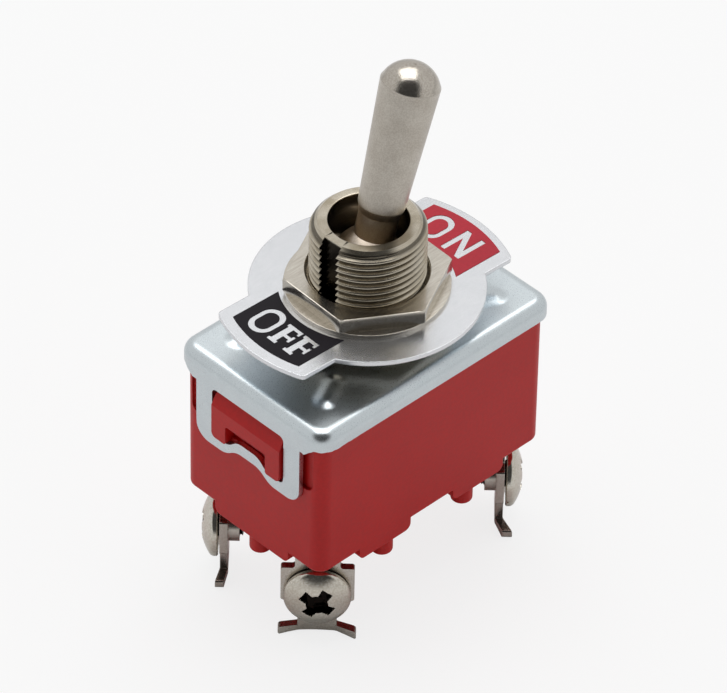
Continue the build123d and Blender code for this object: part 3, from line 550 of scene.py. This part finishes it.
def soften(mesh: bpy.types.Mesh, smooth_angle: float) -> None:
    """Shade a mesh smooth, with the edges sharper than an angle in degrees kept sharp.

    Args:
        mesh: The mesh, changed in place.
        smooth_angle: The angle.
    """
    shape = bmesh.new()
    shape.from_mesh(mesh)
    limit = radians(smooth_angle)
    for edge in shape.edges:
        edge.smooth = len(edge.link_faces) == 2 and edge.calc_face_angle(0.0) < limit
    for face in shape.faces:
        face.smooth = True
    shape.to_mesh(mesh)
    shape.free()


def make_piece(name: str, points: np.ndarray, faces: np.ndarray | list, material: bpy.types.Material,
               smooth_angle: float = 30.0) -> bpy.types.Object:
    """Make a mesh object in place, with its doubles joined and its faces turned outward.

    Args:
        name: The piece's name.
        points: Points in millimetres, an (n, 3) array in the seat's frame.
        faces: Faces as lists of point numbers.
        material: The finish.
        smooth_angle: Edges sharper than this many degrees stay sharp.

    Returns:
        The new object, linked to the scene.
    """
    placed = (np.asarray(points, dtype=float).reshape(-1, 3) + (0.0, 0.0, SEAT)) * MM
    mesh = bpy.data.meshes.new(name)
    mesh.from_pydata(placed.tolist(), [], [list(map(int, f)) for f in faces])
    shape = bmesh.new()
    shape.from_mesh(mesh)
    bmesh.ops.remove_doubles(shape, verts=shape.verts, dist=1e-7)
    bmesh.ops.dissolve_degenerate(shape, edges=shape.edges, dist=1e-7)
    bmesh.ops.recalc_face_normals(shape, faces=shape.faces)
    if shape.calc_volume(signed=True) < 0:
        bmesh.ops.reverse_faces(shape, faces=shape.faces)
    shape.to_mesh(mesh)
    shape.free()
    soften(mesh, smooth_angle)
    mesh.materials.append(material)
    thing = bpy.data.objects.new(name, mesh)
    bpy.context.scene.collection.objects.link(thing)
    return thing


def turned_points(profile: np.ndarray, segments: int) -> np.ndarray:
    """Return the points of a profile turned about Z.

    The point of profile (r, z) at angle t is (r cos t, r sin t, z).

    Args:
        profile: Radius and height pairs, an (n, 2) array.
        segments: Number of steps around.

    Returns:
        An (n, segments, 3) array.
    """
    angle = np.linspace(0, 2 * pi, segments, endpoint=False)
    radius, height = profile[:, 0, None], profile[:, 1, None]
    return np.stack([radius * np.cos(angle), radius * np.sin(angle),
                     np.broadcast_to(height, (len(profile), segments))], axis=-1)


def rounded_path(corners: list[tuple[float, float, float]], steps: int = 5) -> np.ndarray:
    """Return a path of straight runs with rounded corners.

    Each corner (x, y, round) with a round above 0 gives way to an arc of that radius that touches both runs.

    Args:
        corners: Corner places with the radius of each.
        steps: Steps in each arc.

    Returns:
        The path's points, an (n, 2) array. The first and last corners stay as they are.
    """
    out: list[np.ndarray] = []
    points = [np.array(c[:2], dtype=float) for c in corners]
    for index, (point, corner) in enumerate(zip(points, corners)):
        if corner[2] <= 0 or index in (0, len(points) - 1):
            out.append(point)
            continue
        before = points[index - 1] - point
        after = points[index + 1] - point
        before, after = before / np.linalg.norm(before), after / np.linalg.norm(after)
        half = np.arccos(np.clip(before @ after, -1, 1)) / 2
        reach = corner[2] / tan(half)
        middle = point + (before + after) / np.linalg.norm(before + after) * corner[2] / sin(half)
        start, end = point + before * reach, point + after * reach
        first = atan2(*(start - middle)[::-1])
        sweep = (atan2(*(end - middle)[::-1]) - first + pi) % (2 * pi) - pi
        for share in np.linspace(0, 1, steps + 1):
            angle = first + sweep * share
            out.append(middle + corner[2] * np.array([cos(angle), sin(angle)]))
    return np.array(out)


class GridPiece:
    """A sub-assembly that is one grid of points and stands in for a CAD node.

    Each one gives its own name, node, slot in the record and grid.
    """

    name: str
    node: str
    slot: str
    smooth_angle: float = 40.0
    body: Body = Body.BASE
    closed_section: bool = True

    def grid(self) -> np.ndarray:
        """Return the piece's points, a (rows, columns, 3) array in the seat's frame."""
        raise NotImplementedError

    def trim(self, thing: bpy.types.Object) -> None:
        """Cut what a grid can't give, here nothing."""

    def build(self, finishes: Finishes) -> None:
        """Build the piece from its slot's finish, hide the node it replaces, and say what it rides on.

        Args:
            finishes: The finishes to dress it from.
        """
        grid = self.grid()
        faces = grid_faces(*grid.shape[:2], close_rows=self.closed_section, close_columns=True)
        thing = make_piece(self.name, grid, faces, finishes.by_slot[self.slot], self.smooth_angle)
        self.trim(thing)
        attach(thing, self.body.value)
        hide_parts(self.node)
        log.info("piece %s: %d faces, on %s", thing.name, len(thing.data.polygons), self.body.value)


@dataclass
class SheetCover(GridPiece):
    """The pressed sheet cover with its bends, skirts, straps, windows and soft ribs."""

    half_length: float = 16.41
    half_width: float = 10.61
    corner: float = 2.11
    sheet: float = 0.55
    bend: float = 1.3
    hole: float = 6.0
    skirt: tuple[tuple[float, float, float], ...] = (
        (11.0, -2.2, 0), (9.3, -2.2, 0), (8.1, -3.2, 0), (7.51, -3.2, 0), (7.5, -8.5, 0),
        (7.5, -10.45, 1.8), (3.3, -10.45, 2.4), (1.6, -9.25, 2.4), (0.0, -9.25, 0))
    window: tuple[tuple[float, float, float], ...] = (
        (0.0, -2.9, 0), (5.2, -2.9, 0.6), (5.2, -9.05, 0.6), (2.8, -9.05, 1.7), (1.5, -7.85, 1.7),
        (0.0, -7.85, 0))
    rib_angle: float = 28.3
    rib_start: float = 9.0
    rib_end: float = 14.6
    rib_width: float = 3.2
    rib_height: float = 0.34
    burr: float = 0.05
    trim_wave: float = 0.13
    top_rows: int = 84
    bend_rows: int = 10
    wall_rows: int = 9
    under_stride: int = 3
    end_points: int = 25
    side_points: int = 73
    corner_points: int = 13
    bar_reach: float = 20.0
    name: str = "sheet_cover"
    node: str = "cover_shell"
    slot: str = "zinc_cover"
    smooth_angle: float = 35.0

    def ring(self) -> tuple[np.ndarray, np.ndarray]:
        """Return the outline's points and outward normals, seen from above.

        The ends are sampled at the skirt outline's own places and every 0.35 mm, the long sides every 0.4 mm
        and each corner in twelve steps.

        Returns:
            Two (n, 2) arrays.
        """
        flat_x, flat_y = self.half_length - self.corner, self.half_width - self.corner
        own = rounded_path(list(self.skirt), 8)[:, 0]
        own = own[own < flat_y]
        even = np.linspace(0, flat_y, self.end_points)
        even = even[np.abs(even[:, None] - own[None, :]).min(axis=1) > 0.08]
        half = np.unique(np.round(np.concatenate([own, even]), 4))
        end = np.concatenate([-half[:0:-1], half])
        side = np.linspace(-flat_x, flat_x, self.side_points)
        turn = np.linspace(0, pi / 2, self.corner_points)[1:-1]
        points, normals = [], []
        for quarter in range(4):
            angle = quarter * pi / 2
            face = np.array([cos(angle), sin(angle)])
            along = np.array([-sin(angle), cos(angle)])
            reach = self.half_length if quarter % 2 == 0 else self.half_width
            run = end if quarter % 2 == 0 else side
            points.append(face * reach + run[:, None] * along)
            normals.append(np.broadcast_to(face, (len(run), 2)))
            arc = np.stack([np.cos(angle + turn), np.sin(angle + turn)], axis=-1)
            centre = face * (reach - self.corner) + along * (flat_y if quarter % 2 == 0 else flat_x)
            points.append(centre + arc * self.corner)
            normals.append(arc)
        return np.concatenate(points), np.concatenate(normals)

    def skirt_depth(self, points: np.ndarray) -> np.ndarray:
        """Return the height of the skirt's lower edge at points of the outline.

        It follows the skirt's outline over |y|, and wanders by trim_wave near the corner where x and y are
        lowest: by sin(2.1 s) cos(5.3 s) with s the distance from that corner, fading over 6 mm.

        Args:
            points: Points of the outline, an (n, 2) array.

        Returns:
            n heights.
        """
        path = rounded_path(list(self.skirt), 8)[::-1]
        depth = np.interp(np.abs(points[:, 1]), path[:, 0], path[:, 1])
        away = np.hypot(points[:, 0] + self.half_length, points[:, 1] + self.half_width)
        wander = self.trim_wave * np.sin(2.1 * away) * np.cos(5.3 * away) * np.clip(1 - away / 6, 0, 1)
        return depth + np.where(depth > -4, wander, 0)

    def rib_rise(self, x: np.ndarray, y: np.ndarray) -> np.ndarray:
        """Return the height of the four pressed ribs.

        Each is a soft bump over the distance d from a line along the rib: height times cos^2(pi d / width)
        inside half the width. With the signs of x and y dropped all four are one.

        Args:
            x: Places along X.
            y: Places along Y, of the same shape.

        Returns:
            The rise at each place.
        """
        turn = radians(self.rib_angle)
        along = np.abs(x) * cos(turn) + np.abs(y) * sin(turn)
        across = -np.abs(x) * sin(turn) + np.abs(y) * cos(turn)
        half = self.rib_width / 2
        held = np.clip(along, self.rib_start + half, self.rib_end - half * 0.8)
        away = np.hypot(along - held, across)
        return self.rib_height * np.cos(np.clip(away / half, 0, 1) * pi / 2) ** 2

    def grid(self) -> np.ndarray:
        """Return the closed section's points, a (rows, columns, 3) array.

        The rows run out over the top, round the bend, down the wall, under its edge and back inside. A top
        row is a blend of the outline, moved in by the bend, and the hole.

        Returns:
            A (rows, columns, 3) array in the seat's frame.
        """
        outline, normal = self.ring()
        rim = outline - normal * self.bend
        angle = np.arctan2(rim[:, 1], rim[:, 0])
        hole = self.hole * np.stack([np.cos(angle), np.sin(angle)], axis=-1)
        share = np.linspace(0, 1, self.top_rows)[:, None, None]
        flat = hole + (rim - hole) * share
        rise = self.rib_rise(flat[..., 0], flat[..., 1])
        top = np.concatenate([flat, rise[..., None]], axis=-1)
        foot = self.skirt_depth(outline)
        turn = np.linspace(0, pi / 2, self.bend_rows)[1:, None, None]

        def bent(radius: float) -> np.ndarray:
            """Return the rows of a bend about the bend's middle line."""
            place = outline - normal * (self.bend - radius * np.sin(turn))
            height = np.broadcast_to(radius * np.cos(turn) - self.bend, place.shape[:2] + (1,))
            return np.concatenate([place, height], axis=-1)

        def wall(inset: float, rows: np.ndarray) -> np.ndarray:
            """Return wall rows at shares of the way down to the skirt's edge, less a burr."""
            place = np.broadcast_to(outline - normal * inset, (len(rows), len(outline), 2))
            height = -self.bend + (foot + self.burr + self.bend) * rows[:, None]
            return np.concatenate([place, height[..., None]], axis=-1)

        def edge(inset: float) -> np.ndarray:
            """Return the row at the very foot of the wall."""
            return np.concatenate([outline - normal * inset, foot[:, None]], axis=-1)[None]

        down = np.linspace(0, 1, self.wall_rows)[1:]
        under = top.copy()
        under[..., 2] -= self.sheet
        return np.concatenate([
            top, bent(self.bend), wall(0.0, down), edge(self.burr),
            edge(self.sheet - self.burr), wall(self.sheet, down[::-1]),
            bent(self.bend - self.sheet)[::-1], under[::-1][::self.under_stride]])

    def trim(self, thing: bpy.types.Object) -> None:
        """Cut both windows with one bar of the window's outline that runs through both ends.

        Args:
            thing: The cover, whose mesh is changed.
        """
        half = rounded_path(list(self.window), 6)
        loop = np.concatenate([half, half[-2:0:-1] * (-1, 1)])
        count, reach = len(loop), self.bar_reach
        bar = np.stack([np.concatenate([np.full((count, 1), x), loop], axis=1) for x in (-reach, reach)])
        faces = grid_faces(2, count, False, True).tolist()
        faces += [list(range(count))[::-1], list(range(count, 2 * count))]
        cutter = make_piece("window_bar", bar, faces, thing.data.materials[0])
        modifier = thing.modifiers.new("windows", "BOOLEAN")
        modifier.operation, modifier.solver, modifier.object = "DIFFERENCE", "EXACT", cutter
        view = bpy.context.evaluated_depsgraph_get()
        mesh = bpy.data.meshes.new_from_object(thing.evaluated_get(view))
        thing.modifiers.clear()
        thing.data = mesh
        bpy.data.objects.remove(cutter)
        soften(mesh, self.smooth_angle)


@dataclass
class Bushing(GridPiece):
    """The threaded bushing with its flange, keyway and bevelled mouth."""

    crest: float = 5.95
    root: float = 5.5
    pitch: float = 0.794
    thread_bottom: float = 4.5
    top: float = 12.95
    bevel: float = 0.85
    bore: float = 4.1
    mouth_round: float = 0.12
    flare: float = 0.4
    flare_top: float = 1.45
    flange: float = 7.0
    flange_bottom: float = -1.75
    flange_top: float = -0.55
    keyway_half: float = 1.15
    keyway_floor: float = 5.05
    keyway_turn: float = 2.0
    crest_flat: float = 0.16
    flank: float = 0.66
    rows_per_pitch: int = 14
    columns: int = 168
    keyway_columns: int = 8
    name: str = "threaded_bushing"
    node: str = "bushing"
    slot: str = "nickel_bushing"

    def thread_radius(self, height: np.ndarray, angle: np.ndarray) -> np.ndarray:
        """Return the thread's radius at a height and angle.

        With p = (height - pitch * angle / 2 pi) / pitch and f its distance from a whole number, doubled, the
        depth share is (f - crest_flat) / flank held to 0..1: a V thread with flats on its crest and root.

        Args:
            height: Heights over the seat.
            angle: Angles about the axis.

        Returns:
            The radius at each place.
        """
        phase = (height - self.pitch * angle / (2 * pi)) / self.pitch
        away = np.abs(phase - np.round(phase)) * 2
        share = np.clip((away - self.crest_flat) / self.flank, 0, 1)
        return self.crest - (self.crest - self.root) * share

    def grid(self) -> np.ndarray:
        """Return the closed section's points, a (rows, columns, 3) array.

        The columns run from one keyway wall around to the other, then across the keyway's floor. A thread row
        climbs by one pitch a turn, held between the thread's ends.

        Returns:
            A (rows, columns, 3) array in the seat's frame.
        """
        edge = asin(self.keyway_half / self.crest)
        outer = np.linspace(edge, 2 * pi - edge, self.columns)
        across = np.linspace(self.keyway_half, -self.keyway_half, self.keyway_columns)[::-1]
        angle = np.concatenate([outer, np.full(self.keyway_columns, 2 * pi)])
        count = len(angle)
        in_floor = np.arange(count) >= self.columns
        rows = [(self.bore + self.flare, self.flange_bottom, False), (self.flange, self.flange_bottom, False),
                (self.flange, self.flange_top, False), (self.crest, self.flange_top, False),
                (self.crest, 0.0, False), (self.crest, 0.0, True), (self.crest, self.thread_bottom, True)]
        step = self.pitch / self.rows_per_pitch
        climb = self.pitch * (angle % (2 * pi)) / (2 * pi)
        climb[in_floor] = 0.0
        for share in np.arange(self.thread_bottom - self.pitch, self.top + step / 2, step):
            height = np.clip(share + climb, self.thread_bottom, self.top)
            radius = self.thread_radius(height, angle)
            radius = np.minimum(radius, self.crest + self.top - self.bevel - height)
            rows.append((radius, height, True))
        face = self.crest - self.bevel
        mouth = rounded_path([(face, self.top, 0), (self.bore, self.top, self.mouth_round),
                              (self.bore, self.flare_top, 0)])
        rows += [(radius, height, True) for radius, height in mouth]
        grid = np.zeros((len(rows), count, 3))
        for index, (radius, height, cut) in enumerate(rows):
            radius, height = np.broadcast_to(radius, count), np.broadcast_to(height, count)
            x, y = radius * np.cos(angle), radius * np.sin(angle)
            for column, side in ((0, 1), (self.columns - 1, -1)):
                y[column] = side * min(self.keyway_half, radius[column])
                x[column] = sqrt(max(radius[column] ** 2 - y[column] ** 2, 0.0))
            y[in_floor] = across
            reach = np.sqrt(np.maximum(radius[in_floor] ** 2 - across ** 2, 0.0))
            x[in_floor] = np.minimum(reach, self.keyway_floor) if cut else reach
            grid[index] = np.stack([x, y, height], axis=-1)
        turn = pi + radians(self.keyway_turn)
        turned = np.array([[cos(turn), -sin(turn), 0], [sin(turn), cos(turn), 0], [0, 0, 1]])
        return grid @ turned.T


@dataclass
class Nut(GridPiece):
    """A hexagon nut with its corners turned down, and optionally a countersink at its thread."""

    name: str
    node: str
    bottom: float
    turn: float
    thickness: float = 1.68
    width: float = 15.0
    chamfer: float = 0.1
    bore: float = 5.75
    mouth: float = 5.95
    edge_round: float = 0.06
    steps: int = 30
    slot: str = "nickel_hardware"
    smooth_angle: float = 25.0

    def grid(self) -> np.ndarray:
        """Return the nut's closed section, carried round its six sides.

        A column at angle t off a flat's middle reaches R = (width / 2) / cos t, and its ends drop by
        (R - inner) / 2 past the inner circle, which leaves the arcs of a turned nut.

        Returns:
            A (rows, columns, 3) array in the seat's frame.
        """
        half = self.width / 2
        inner = half / cos(pi / 6) - 2 * self.chamfer
        sweep = np.linspace(-pi / 6, pi / 6, self.steps, endpoint=False)
        angle = np.concatenate([sweep + k * pi / 3 for k in range(6)]) + pi / 6 + radians(self.turn)
        reach = np.tile(half / np.cos(sweep), 6)
        drop = np.maximum(0, (reach - inner) / 2)
        rim = np.minimum(reach, inner)
        small, bottom, top = self.edge_round, self.bottom, self.bottom + self.thickness
        rows = [(self.bore, bottom), (rim - small, bottom), (np.minimum(rim, reach - small / 2), bottom),
                (reach - small / 4, bottom + drop + small / 4), (reach, bottom + drop + small),
                (reach, top - drop - small), (reach - small / 4, top - drop - small / 4),
                (np.minimum(rim, reach - small), top), (rim - small * 2, top), (self.mouth + small, top),
                (self.mouth, top - small / 2), (self.bore, top - (self.mouth - self.bore))]
        return np.stack([np.stack(np.broadcast_arrays(radius * np.cos(angle), radius * np.sin(angle), height),
                                  axis=-1) for radius, height in rows])


@dataclass
class FaceWasher(GridPiece):
    """The flat washer between the label plate and the face nut."""

    radius: float = 8.45
    bore: float = 6.0
    bottom: float = 4.47
    top: float = 4.87
    edge: float = 0.05
    segments: int = 144
    name: str = "flat_washer"
    node: str = "face_washer"
    slot: str = "nickel_hardware"
    smooth_angle: float = 30.0

    def grid(self) -> np.ndarray:
        """Return the closed section with rolled edges, turned about the axis.

        Returns:
            A (rows, columns, 3) array in the seat's frame.
        """
        corners = [(self.bore, self.bottom, 0), (self.radius, self.bottom, self.edge),
                   (self.radius, self.top, self.edge), (self.bore, self.top, self.edge),
                   (self.bore, self.bottom, 0)]
        return turned_points(rounded_path(corners)[:-1], self.segments)


@dataclass
class BatLever(GridPiece):
    """The bat handle, ball and arm, turned as one piece and tilted to its rest."""

    pivot: float = 7.5
    tilt: float = 15.4
    ball: float = 3.8
    arm: float = 1.6
    arm_length: float = 15.4978
    neck: float = 2.1
    neck_end: float = 5.7
    shoulder: float = 2.42
    shoulder_end: float = 6.6
    bat: float = 3.07
    bat_end: float = 20.0
    edge: float = 0.26
    dome: float = 3.2
    length: float = 22.7
    pip: float = 0.3
    pip_height: float = 0.05
    foot_edge: float = 0.2
    neck_round: float = 0.45
    shoulder_round: float = 0.5
    rim_round: float = 0.35
    ball_steps: int = 40
    dome_steps: int = 24
    segments: int = 128
    name: str = "bat_lever"
    node: str = "lever"
    slot: str = "nickel_lever"
    smooth_angle: float = 45.0
    body: Body = Body.LEVER
    closed_section: bool = False

    def profile(self) -> np.ndarray:
        """Return the half profile from the arm's foot to the tip, as radius and length pairs.

        Returns:
            An (n, 2) array.
        """
        out = [(0.0, -self.arm_length), (self.arm - self.foot_edge, -self.arm_length),
               (self.arm, -self.arm_length + self.foot_edge)]
        low = -sqrt(self.ball ** 2 - self.arm ** 2)
        high = sqrt(self.ball ** 2 - self.neck ** 2)
        for angle in np.linspace(atan2(low, self.arm), atan2(high, self.neck), self.ball_steps):
            out.append((self.ball * cos(angle), self.ball * sin(angle)))
        centre = self.length - self.dome
        start = centre + sqrt(self.dome ** 2 - (self.bat - self.edge / 2) ** 2)
        slope = (self.bat - self.shoulder) / (self.bat_end - self.shoulder_end)
        rim = self.bat + slope * (start - self.edge - self.bat_end)
        corners = [(self.neck, high, 0), (self.neck, self.neck_end, self.neck_round),
                   (self.shoulder, self.shoulder_end, self.shoulder_round),
                   (rim, start - self.edge, self.rim_round), (self.bat - self.edge / 2, start, 0)]
        out.extend(map(tuple, rounded_path(corners, 6)[1:]))
        first = atan2(start - centre, self.bat - self.edge / 2)
        last = atan2(sqrt(self.dome ** 2 - self.pip ** 2), self.pip)
        for angle in np.linspace(first, last, self.dome_steps)[1:]:
            out.append((self.dome * cos(angle), centre + self.dome * sin(angle)))
        out += [(self.pip * 0.9, self.length + self.pip_height * 0.6),
                (self.pip * 0.5, self.length + self.pip_height), (0.0, self.length + self.pip_height)]
        return np.array(out)

    def grid(self) -> np.ndarray:
        """Return the lever's points, turned about its axis and leant to its rest tilt.

        Returns:
            A (rows, columns, 3) array in the seat's frame.
        """
        a = radians(self.tilt)
        leant = np.array([[cos(a), 0, sin(a)], [0, 1, 0], [-sin(a), 0, cos(a)]])
        return turned_points(self.profile(), self.segments) @ leant.T + (0, 0, self.pivot)


@dataclass
class BindingScrew(GridPiece):
    """A domed binding screw with a cross recess, laid along a terminal's normal."""

    name: str
    node: str
    sign_x: int
    sign_y: int
    turn: float
    axis_x: float = 13.36
    axis_y: float = 7.21
    height: float = 5.5
    radius: float = 3.45
    gap: float = 0.2
    rim: float = 0.7
    top: float = 2.0
    edge: float = 0.3
    shank: float = 1.42
    root: float = 1.15
    pitch: float = 0.7
    length: float = 2.4
    arm: float = 1.85
    arm_half: float = 0.56
    core: float = 1.16
    flare: float = 0.08
    depth: float = 1.25
    wall: float = 0.12
    crown_power: float = 2.2
    floor_rise: float = 0.35
    under_edge: float = 0.12
    run_out: float = 0.3
    segments: int = 144
    rings: int = 64
    slot: str = "screw_plating"
    closed_section: bool = False

    def dome(self, radius: np.ndarray) -> np.ndarray:
        """Return the head's height over its radius.

        It falls by a power of the radius from top to rim, and rounds over the last bit of its edge.

        Args:
            radius: Distances from the screw's axis.

        Returns:
            The height at each distance.
        """
        share = np.clip(radius / self.radius, 0, 1)
        crown = self.top - (self.top - self.gap - self.rim) * share ** self.crown_power
        over = np.clip((radius - (self.radius - self.edge)) / self.edge, 0, 1)
        return crown - self.edge * (1 - np.sqrt(1 - over ** 2))

    def recess(self, x: np.ndarray, y: np.ndarray) -> np.ndarray:
        """Return the depth of the cross recess.

        With d the distance outside the nearer of two crossed bars, whose ends flare, or of the round core,
        the depth falls smoothly from full to none as d goes from -wall to 0. The floor rises outwards.

        Args:
            x: Places along X.
            y: Places along Y, of the same shape.

        Returns:
            The depth at each place.
        """
        ax, ay = np.abs(x), np.abs(y)
        bars = [np.maximum(along - self.arm, across - self.arm_half - self.flare * (along / self.arm) ** 3)
                for along, across in ((ax, ay), (ay, ax))]
        away = np.minimum(np.minimum(*bars), np.hypot(x, y) - self.core)
        share = np.clip(-away / self.wall, 0, 1)
        floor = self.depth * (1 - self.floor_rise * np.hypot(x, y) / self.arm)
        return floor * share ** 2 * (3 - 2 * share)

    def points(self) -> np.ndarray:
        """Return the head's and shank's points around the axis, a (rings, segments, 3) array.

        The shank's rings wander between the crest and root of the thread by a cosine of its height, so that
        the thread climbs by one pitch a turn.

        Returns:
            The points with the screw's axis along Z.
        """
        angle = np.linspace(0, 2 * pi, self.segments, endpoint=False)
        over = np.linspace(0, pi / 2, 8)[1:]
        radius = np.concatenate([np.linspace(0, self.radius - self.edge, self.rings),
                                 self.radius - self.edge * (1 - np.sin(over))])
        spread = radius[:, None]
        x, y = spread * np.cos(angle), spread * np.sin(angle)
        head = np.stack([x, y, self.dome(spread) - self.recess(x, y)], axis=-1)
        under = turned_points(np.array([
            (self.radius, self.gap + self.under_edge), (self.radius - self.under_edge, self.gap),
            (self.shank, self.gap)]), self.segments)
        level = np.arange(self.gap, -self.length, -self.pitch / 8)[1:]
        phase = 2 * pi * level[:, None] / self.pitch + angle
        fade = np.clip((self.gap - level[:, None]) / self.run_out, 0, 1)
        swing = (self.shank - self.root) / 2 * fade
        reach = self.shank - swing * (1 - np.cos(phase))
        shank = np.stack([reach * np.cos(angle), reach * np.sin(angle),
                          np.broadcast_to(level[:, None], reach.shape)], axis=-1)
        foot = turned_points(np.array([(self.root * 0.9, -self.length), (0.0, -self.length)]), self.segments)
        return np.concatenate([head, under, shank, foot])

    def grid(self) -> np.ndarray:
        """Return the screw's points, turned as it was left, in its own corner.

        Returns:
            A (rows, columns, 3) array in the seat's frame.
        """
        a = radians(45 + self.turn)
        x, y, out = np.moveaxis(self.points(), -1, 0)
        across, up = x * cos(a) - y * sin(a), x * sin(a) + y * cos(a)
        share = sqrt(0.5)
        return np.stack([self.sign_x * (self.axis_x + out * share - across * share),
                         self.sign_y * (self.axis_y + out * share + across * share),
                         self.height + up - SEAT], axis=-1)


def direction(azimuth: float, elevation: float) -> Vector:
    """Return the unit vector from the object towards an azimuth and elevation in degrees."""
    a, e = radians(azimuth), radians(elevation)
    return Vector((sin(a) * cos(e), -cos(a) * cos(e), sin(e)))


@dataclass(frozen=True)
class SoftBox:
    """One soft area light, aimed at the switch. Its distance and size are in metres."""

    name: str
    azimuth: float
    elevation: float
    distance: float
    size: float
    power: float

    def place(self, target: Vector) -> None:
        """Put the lamp where its angles say, looking at the target.

        Args:
            target: The point it looks at.
        """
        lamp = bpy.data.lights.new(self.name, "AREA")
        lamp.shape = "SQUARE"
        lamp.size = self.size
        lamp.energy = self.power
        thing = bpy.data.objects.new(self.name, lamp)
        away = direction(self.azimuth, self.elevation)
        thing.location = target + away * self.distance
        thing.rotation_euler = away.to_track_quat("Z", "Y").to_euler()
        bpy.context.scene.collection.objects.link(thing)


@dataclass
class Studio:
    """The floor, the light, the world and the camera."""

    azimuth: float = -44.67
    elevation: float = 40.61
    roll: float = 1.15
    distance: float = 622.8
    lens: float = 310.0
    target: tuple[float, float, float] = (-5.51, -5.21, 32.53)
    bright: float = 0.72
    dim: float = 0.06
    dark_elevation: float = 46.0
    dark_rim: float = 52.0
    dark_core: float = 30.0
    floor_half: float = 3.0
    floor_dark: float = 0.84
    floor_light: float = 0.88
    floor_glow: float = 0.8
    floor_mottle: float = 40.0
    lamp: SoftBox = SoftBox("top_box", 140.0, 74.0, 0.6, 0.52, 1.75)

    def build(self) -> None:
        """Build the whole studio."""
        scene = bpy.context.scene
        scene.view_settings.view_transform = "Standard"
        target = Vector(self.target) * MM
        self.lamp.place(target)
        self.add_world(scene)
        self.add_floor(scene)
        self.add_camera(scene, target)

    def add_world(self, scene: bpy.types.Scene) -> None:
        """Light from a pale room with one dark side, and show it white behind the object.

        With c the cosine between a direction and the dark side's middle, the room's strength falls from
        bright to dim as c rises from the dark side's rim to its core.

        Args:
            scene: The scene that is rendered.
        """
        world = bpy.data.worlds.new("studio_world")
        world.use_nodes = True
        graph = Graph(world.node_tree)
        background = world.node_tree.nodes["Background"]
        away = graph.add("ShaderNodeTexCoord").outputs["Generated"]
        middle = direction(self.azimuth, self.dark_elevation)
        cosine = graph.add("ShaderNodeVectorMath", {"operation": "DOT_PRODUCT"}, {0: away, 1: middle})
        rim, core = cos(radians(self.dark_rim)), cos(radians(self.dark_core))
        shade = graph.ramp(cosine.outputs["Value"], rim, core)
        room = graph.math("MULTIPLY_ADD", shade, self.dim - self.bright, self.bright)
        seen = graph.add("ShaderNodeLightPath").outputs["Is Camera Ray"]
        strength = graph.math("MAXIMUM", room, seen)
        world.node_tree.links.new(strength, background.inputs["Strength"])
        background.inputs["Color"].default_value = (1.0, 1.0, 1.0, 1.0)
        scene.world = world

    def add_floor(self, scene: bpy.types.Scene) -> None:
        """Add the pale floor, which shows near white and keeps a soft shadow.

        Args:
            scene: The scene that is rendered.
        """
        half = self.floor_half
        mesh = bpy.data.meshes.new("studio_floor")
        mesh.from_pydata([(-half, -half, 0), (half, -half, 0), (half, half, 0), (-half, half, 0)], [],
                         [(0, 1, 2, 3)])
        material = bpy.data.materials.new("pale_floor")
        material.use_nodes = True
        graph = Graph(material.node_tree)
        nodes, links = material.node_tree.nodes, material.node_tree.links
        shader = nodes["Principled BSDF"]
        noise = graph.add("ShaderNodeTexNoise", None, {"Scale": self.floor_mottle})
        tint = graph.mix_colour(noise.outputs[0], (self.floor_dark,) * 3, (self.floor_light,) * 3)
        links.new(tint, shader.inputs["Base Color"])
        shader.inputs["Roughness"].default_value = 0.9
        glow = graph.add("ShaderNodeEmission", None, {"Strength": 1.0})
        seen = graph.add("ShaderNodeLightPath").outputs["Is Camera Ray"]
        share = graph.math("MULTIPLY", seen, self.floor_glow)
        mix = graph.add("ShaderNodeMixShader", None, {0: share, 1: shader.outputs[0], 2: glow.outputs[0]})
        links.new(mix.outputs[0], nodes["Material Output"].inputs["Surface"])
        mesh.materials.append(material)
        thing = bpy.data.objects.new("studio_floor", mesh)
        scene.collection.objects.link(thing)

    def add_camera(self, scene: bpy.types.Scene, target: Vector) -> None:
        """Add the camera at the fitted angle, distance, lens and roll.

        Args:
            scene: The scene that is rendered.
            target: The point it looks at.
        """
        a, r = radians(self.azimuth), radians(self.roll)
        back = direction(self.azimuth, self.elevation)
        right = Vector((cos(a), sin(a), 0.0))
        up = back.cross(right)
        side = right * cos(r) + up * sin(r)
        over = up * cos(r) - right * sin(r)
        camera = bpy.data.cameras.new("photo_camera")
        camera.sensor_fit = "HORIZONTAL"
        camera.sensor_width = 36.0
        camera.lens = self.lens
        camera.clip_start, camera.clip_end = 0.01, 20.0
        thing = bpy.data.objects.new("photo_camera", camera)
        place = target + back * self.distance * MM
        thing.matrix_world = Matrix((
            (side.x, over.x, back.x, place.x), (side.y, over.y, back.y, place.y),
            (side.z, over.z, back.z, place.z), (0.0, 0.0, 0.0, 1.0)))
        scene.collection.objects.link(thing)
        scene.camera = thing


def main() -> None:
    """Build the studio and dress the switch, piece by piece."""
    logging.basicConfig(level=logging.INFO, format="%(message)s")
    Studio().build()
    finishes = Finishes()
    finishes.dress_nodes()
    SheetCover().build(finishes)
    Bushing().build(finishes)
    Nut("seat_nut", "back_nut", 1.5, 8.0).build(finishes)
    Nut("top_nut", "face_nut", 4.87, -32.7, mouth=6.32).build(finishes)
    FaceWasher().build(finishes)
    BatLever().build(finishes)
    for end, sign_x in (("contact", -1), ("common", 1)):
        for side, sign_y in (("front", -1), ("rear", 1)):
            node = f"{end}_screw_{side}"
            BindingScrew(f"binding_{node}", node, sign_x, sign_y, SCREW_TURNS[node]).build(finishes)


if __name__ == "__main__":
    main()
